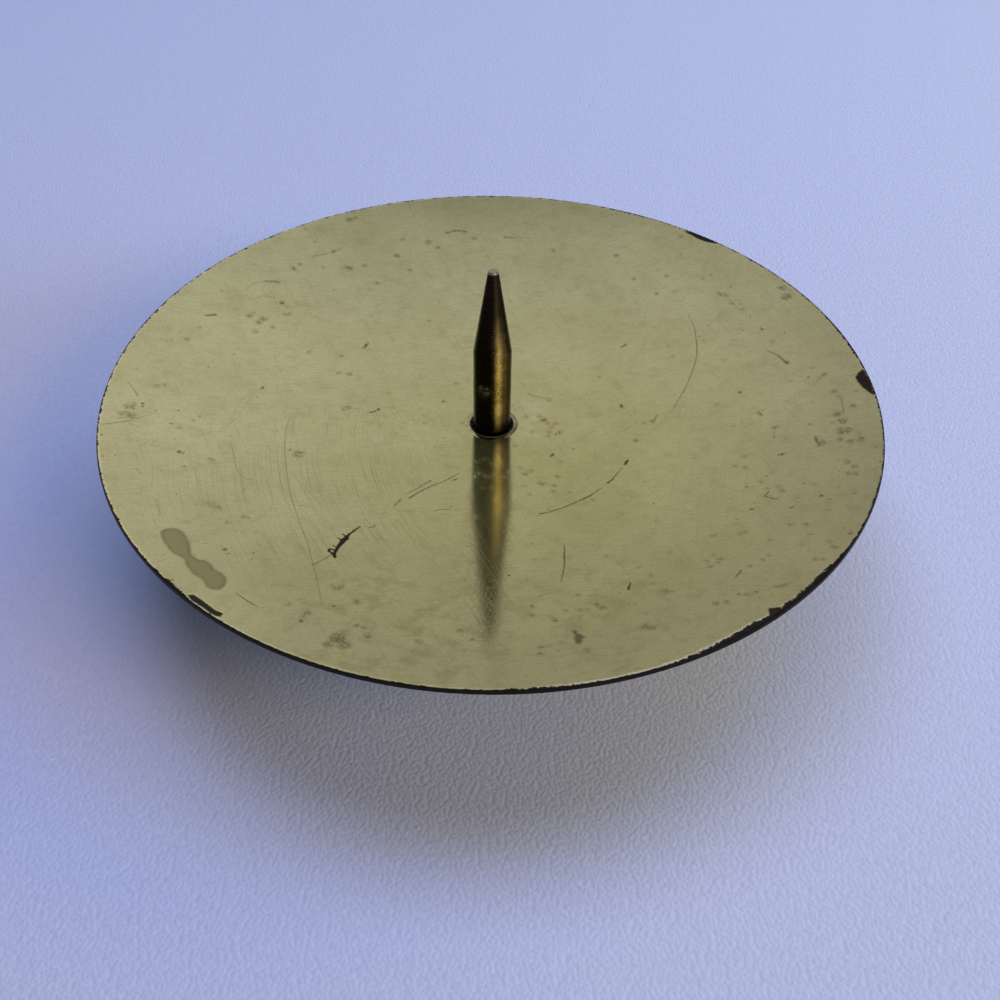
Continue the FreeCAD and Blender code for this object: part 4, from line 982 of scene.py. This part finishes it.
# Clamp washer
# A plain round washer punched from steel strip and zinc-plated. It lies under the foot's crown and
# spreads the nut's pull over the thin sheet.
def dressed(name, material):
    """Gives a CAD node a better finish in its own material slots."""
    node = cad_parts[name]
    if not node.material_slots:
        node.data.materials.append(material)
    for place in node.material_slots:
        place.material = material


# Zinc plate on punched steel: cool pale grey and half dull, broken up by the coating's crystals, which
# are 0.8 mm across and each a little brighter or darker than the next
zinc_steel, tree, shader, place = finish_named("steel_zinc_plated_punched")
crystal = add(tree, "TexVoronoi", {"Vector": place, "Scale": 1.3})["Color"]
crystal = add(tree, "SeparateColor", {0: crystal})[0]
tint = add(tree, "ValToRGB", {"Fac": crystal}, ((0.0, linear("b4b7ba")), (1.0, linear("c9cccd"))))["Color"]
rough = add(tree, "MapRange", {"Value": crystal, "To Min": 0.28, "To Max": 0.4})[0]
connect(shader, {"Base Color": tint, "Metallic": 1.0, "Roughness": rough})
dressed("clamp_washer", zinc_steel)


# Spring washer
# A split ring of square spring-steel wire, hardened and blackened in oil. The nut presses it flat and it
# keeps the nut from working loose.

# The oil's black film is dark grey with a low sheen, cloudy in patches 0.7 mm across
blackened_steel, tree, shader, place = finish_named("spring_steel_oil_blackened")
patch = add(tree, "TexNoise", {"Vector": place, "Scale": 1.5, "Detail": 5.0})["Fac"]
tint = add(tree, "ValToRGB", {"Fac": patch}, ((0.35, linear("3a3a3c")), (0.65, linear("5c5b5a"))))["Color"]
rough = add(tree, "MapRange", {"Value": patch, "To Min": 0.3, "To Max": 0.5})[0]
connect(shader, {"Base Color": tint, "Metallic": 1.0, "Roughness": rough})
dressed("spring_washer", blackened_steel)


# Pin nut
# An M5 nut parted off hexagon brass bar, faced and chamfered on the lathe. It draws the pin down into the
# collar.

# Out of the light and hardly handled, the machined brass has stayed a bright yellow, a little cloudy in
# patches 1 mm across
bar_brass, tree, shader, place = finish_named("hexagon_bar_brass_machined")
patch = add(tree, "TexNoise", {"Vector": place, "Scale": 1.0, "Detail": 5.0})["Fac"]
tint = add(tree, "ValToRGB", {"Fac": patch}, ((0.35, linear("c4a661")), (0.65, linear("d8bd76"))))["Color"]
rough = add(tree, "MapRange", {"Value": patch, "To Min": 0.2, "To Max": 0.32})[0]
connect(shader, {"Base Color": tint, "Metallic": 1.0, "Roughness": rough})
dressed("pin_nut", bar_brass)


# Felt ring
# A ring cut from 1.2 mm pressed wool felt, dyed dark green and glued under the foot's turned-in edge, so
# that the brass doesn't scratch the table.

felt_inside, felt_outside, felt_under, felt_over = 25.6, 31.15, 0.03, 1.17
# Its edges are rounded by this much, from this far in from its faces
soft_edge, soft_lower, soft_upper, felt_step = 0.3, 0.35, 0.85, 0.5


def pressed_felt(r, z, t):
    """The cut edges have gone soft and uneven."""
    outwards = 1 if r > (felt_inside + felt_outside) / 2 else -1
    if r < felt_inside + 0.4 or r > felt_outside - 0.45:
        r -= 0.1 * outwards * noise.noise((r * 1.1 * math.cos(t), r * 1.1 * math.sin(t), z * 3))
    return r, z


outer, inner = felt_outside - soft_edge, felt_inside + soft_edge
felt_line = (
    arc(outer, soft_lower, soft_edge, -90, 0, 4) + arc(outer, soft_upper, soft_edge, 0, 90, 4)
    + [(outer - felt_step * k, felt_over) for k in range(1, 10)]
    + arc(inner, soft_upper, soft_edge, 90, 180, 4) + arc(inner, soft_lower, soft_edge, 180, 270, 4)
    + [(inner + felt_step * k, felt_under) for k in range(1, 10)]
)
# Wool felt: matt dark green, and the fuzz on it catches the light at a low angle. The tangle of its
# fibres is drawn in tufts of 0.7 mm, as the single fibres of 0.03 mm are too fine to show
wool_felt, tree, shader, place = finish_named("wool_felt_pressed")
tangle = add(tree, "TexNoise", {"Vector": place, "Scale": 1.5, "Detail": 8.0, "Roughness": 0.7})["Fac"]
tint = add(tree, "ValToRGB", {"Fac": tangle}, ((0.3, linear("1d3226")), (0.7, linear("39543f"))))["Color"]
bump = add(tree, "Bump", {"Height": tangle, "Strength": 0.6, "Distance": 0.0002})["Normal"]
connect(shader, {"Base Color": tint, "Roughness": 0.95, "Sheen Weight": 0.4, "Normal": bump})
places, faces = turned(felt_line, 240, pressed_felt)
felt = piece_from("felt_ring_soft", places, faces, wool_felt, "felt_ring")


# Floor, studio light and camera
# A sheet of pale lavender paper with a fine leather grain, lit by a cool strip overhead and a warm window
# at the right front, as the shadow shows.

# Embossed paper is matt, with low rounded pebbles about 0.6 mm across, their rows a little bent, and faint
# clouds of 1.2 mm in its colour
paper, tree, shader, place = finish_named("paper_lavender_embossed")
bent = add(tree, "TexNoise", {"Vector": place, "Scale": 0.9, "Detail": 2.0})["Color"]
bent = add(tree, "VectorMath", {0: bent, 1: (0.3, 0.3, 0.0), 2: place}, operation="MULTIPLY_ADD")[0]
pebble = add(tree, "TexVoronoi", {"Vector": bent, "Scale": 1.7}, voronoi_dimensions="2D", feature="SMOOTH_F1")
cloud = add(tree, "TexNoise", {"Vector": place, "Scale": 0.8, "Detail": 4.0})["Fac"]
tint = add(tree, "ValToRGB", {"Fac": cloud}, ((0.3, linear("acb2da")), (0.7, linear("b2b8e0"))))["Color"]
embossed = {"Height": pebble["Distance"], "Strength": 0.4, "Distance": 0.0002}
bump = add(tree, "Bump", embossed, invert=True)["Normal"]
connect(shader, {"Base Color": tint, "Roughness": 0.75, "Normal": bump})
# Beyond the picture the sheet fades into the backdrop, between 350 and 720 mm from the pin
backdrop_colour = linear("a9b4de")
away = add(tree, "VectorMath", {0: place}, operation="LENGTH")["Value"]
limits = {"Value": away, "From Min": 350.0, "From Max": 720.0}
away = add(tree, "MapRange", limits, interpolation_type="SMOOTHSTEP")[0]
away = add(tree, "Math", {0: away, 1: add(tree, "LightPath")["Is Camera Ray"]}, operation="MULTIPLY")[0]
beyond = add(tree, "Emission", {"Color": backdrop_colour})[0]
whole = add(tree, "MixShader", {0: away, 1: shader.outputs[0], 2: beyond})[0]
connect(tree.nodes["Material Output"], {"Surface": whole})
# It lies 0.1 mm under the felt, so that the two faces don't meet
half, low = 2, -0.0001
mesh = bpy.data.meshes.new("floor")
sheet = [(-half, -half, low), (half, -half, low), (half, half, low), (-half, half, low)]
mesh.from_pydata(sheet, [], [(0, 1, 2, 3)])
mesh.materials.append(paper)
floor = bpy.data.objects.new("floor", mesh)
bpy.context.scene.collection.objects.link(floor)


def lamp(name, place, target, size, radiance):
    """A soft rectangular lamp of even brightness, unseen in reflections, which have the world's own."""
    data = bpy.data.lights.new(name, "AREA")
    data.shape = "RECTANGLE"
    data.size, data.size_y = size
    most = max(radiance)
    data.color = [part / most for part in radiance]
    data.energy = most * math.pi * size[0] * size[1]
    light = bpy.data.objects.new(name, data)
    light.location = place
    light.rotation_euler = (Vector(target) - Vector(place)).to_track_quat("-Z", "Y").to_euler()
    light.visible_glossy = False
    bpy.context.scene.collection.objects.link(light)


def direction(azimuth, elevation):
    """A direction; azimuth 0 looks away from the camera along +Y and 90 to the right."""
    a, e = math.radians(azimuth), math.radians(elevation)
    return math.sin(a) * math.cos(e), math.cos(a) * math.cos(e), math.sin(e)


# The overhead strip in three lengths, cooler to the right, and a short one nearer the camera
for name, across, along, size, radiance in (
        ("strip_left", -0.25, 0.29, (0.4, 0.44), (3.57, 4.15, 5.75)),
        ("strip_middle", 0.15, 0.29, (0.4, 0.44), (2.55, 2.57, 3.18)),
        ("strip_right", 0.55, 0.29, (0.4, 0.44), (0.91, 2.1, 4.73)),
        ("strip_near", 0.0, -0.02, (0.6, 0.18), (2.21, 2.61, 2.55))):
    lamp(name, (across, along, 0.9), (across, along, 0.0), size, radiance)
# The window's sky, low at the right, its warm side nearer the camera, and what the wall behind sends back:
# each where it stands and how wide and high it looks, in degrees, from 1 m away
rim_height = 0.02
for name, azimuth, elevation, wide, high, radiance in (
        ("window_sky", 104, 18, 26, 16, (6.0, 12.4, 14.9)),
        ("window_warm", 134, 34, 26, 16, (12.0, 7.0, 2.5)),
        ("window_side", 80, 25, 22, 30, (1.39, 1.12, 0.02)),
        ("window_wall", 54, 34, 30, 26, (3.29, 2.72, 0.51))):
    a, b, c = direction(azimuth, elevation)
    size = (2 * math.tan(math.radians(wide / 2)), 2 * math.tan(math.radians(high / 2)))
    lamp(name, (a, b, c + rim_height), (0, 0, rim_height), size, radiance)

world = bpy.data.worlds.new("plain_studio")
bpy.context.scene.world = world
world.use_nodes = True
tree = world.node_tree
tree.nodes.clear()
way = add(tree, "TexCoord")["Generated"]


def glow(azimuth, elevation, width):
    """A soft round patch on the studio's walls, 1 at its middle and 0.5 at the given angle from it."""
    middle = direction(azimuth, elevation)
    near = add(tree, "VectorMath", {0: way, 1: middle}, operation="DOT_PRODUCT")["Value"]
    near = add(tree, "Math", {0: near, 1: 0.0}, operation="MAXIMUM")[0]
    power = math.log(0.5) / math.log(math.cos(math.radians(width)))
    return add(tree, "Math", {0: near, 1: power}, operation="POWER")[0]


sides = add(tree, "SeparateXYZ", {0: way})
stops = ((0.3, (0.53, 0.50, 0.56, 1)), (0.9, (0.54, 0.55, 0.69, 1)))
wall = add(tree, "ValToRGB", {"Fac": sides["Z"]}, stops)["Color"]
# Brighter ahead to the left, and dim about 40 degrees up behind the camera and at its sides, where only a
# narrow window shows
bright = add(tree, "MapRange", {"Value": glow(-14, 42, 10.7), "To Min": 0.93, "To Max": 1.68})[0]
levels = ((0.38, 1.0), (0.52, 0.025), (0.79, 0.025), (0.9, 0.8))
stops = [(position, (level, level, level, 1)) for position, level in levels]
room = add(tree, "ValToRGB", {"Fac": sides["Z"]}, stops)["Color"]
ahead = add(tree, "MapRange", {"Value": sides["Y"], "From Min": 0.37, "From Max": 0.57})[0]
dim = add(tree, "Math", {0: room, 1: ahead}, operation="MAXIMUM")[0]
level = add(tree, "Math", {0: bright, 1: dim}, operation="MULTIPLY")[0]
seen = add(tree, "VectorMath", {0: wall, "Scale": level}, operation="SCALE")[0]
# The window as the plate and the pin mirror it, and a fainter glow beside it
limits = {"Value": glow(141, 39, 10), "From Min": 0.12, "From Max": 0.55, "To Min": 0.0, "To Max": 2.6}
window = add(tree, "MapRange", limits)[0]
window = add(tree, "Math", {0: glow(108, 39, 20), 1: 0.35, 2: window}, operation="MULTIPLY_ADD")[0]
window = add(tree, "VectorMath", {0: (1.0, 1.0, 1.15), "Scale": window}, operation="SCALE")[0]
seen = add(tree, "VectorMath", {0: seen, 1: window}, operation="ADD")[0]
# Mirrors see these walls, matt surfaces a dim fill beside the lamps, and the camera a plain backdrop
path = add(tree, "LightPath")
glossy = add(tree, "Math", {0: path["Is Glossy Ray"], 1: path["Is Transmission Ray"]}, operation="MAXIMUM")[0]
fill, walls, backdrop = [
    add(tree, "Background", {"Color": colour, "Strength": 1.0})[0]
    for colour in ((0.03, 0.03, 0.035, 1), seen, backdrop_colour)
]
first = add(tree, "MixShader", {0: glossy, 1: fill, 2: walls})[0]
last = add(tree, "MixShader", {0: path["Is Camera Ray"], 1: first, 2: backdrop})[0]
add(tree, "OutputWorld", {"Surface": last})

# The camera stands where the rim's ellipse and the pin's mirror image put it, 0.2 m from the pin
camera_data = bpy.data.cameras.new("camera")
camera_data.lens, camera_data.sensor_width, camera_data.clip_start = 43.42, 36.0, 0.001
camera = bpy.data.objects.new("camera", camera_data)
camera.matrix_world = Matrix((
    (0.99992, -0.00960, -0.00803, -0.00012),
    (0.00064, 0.68011, -0.73311, -0.150098),
    (0.01250, 0.73305, 0.68006, 0.142756),
    (0.0, 0.0, 0.0, 1.0),
))
bpy.context.scene.collection.objects.link(camera)
bpy.context.scene.camera = camera
bpy.context.scene.view_settings.view_transform = "Standard"
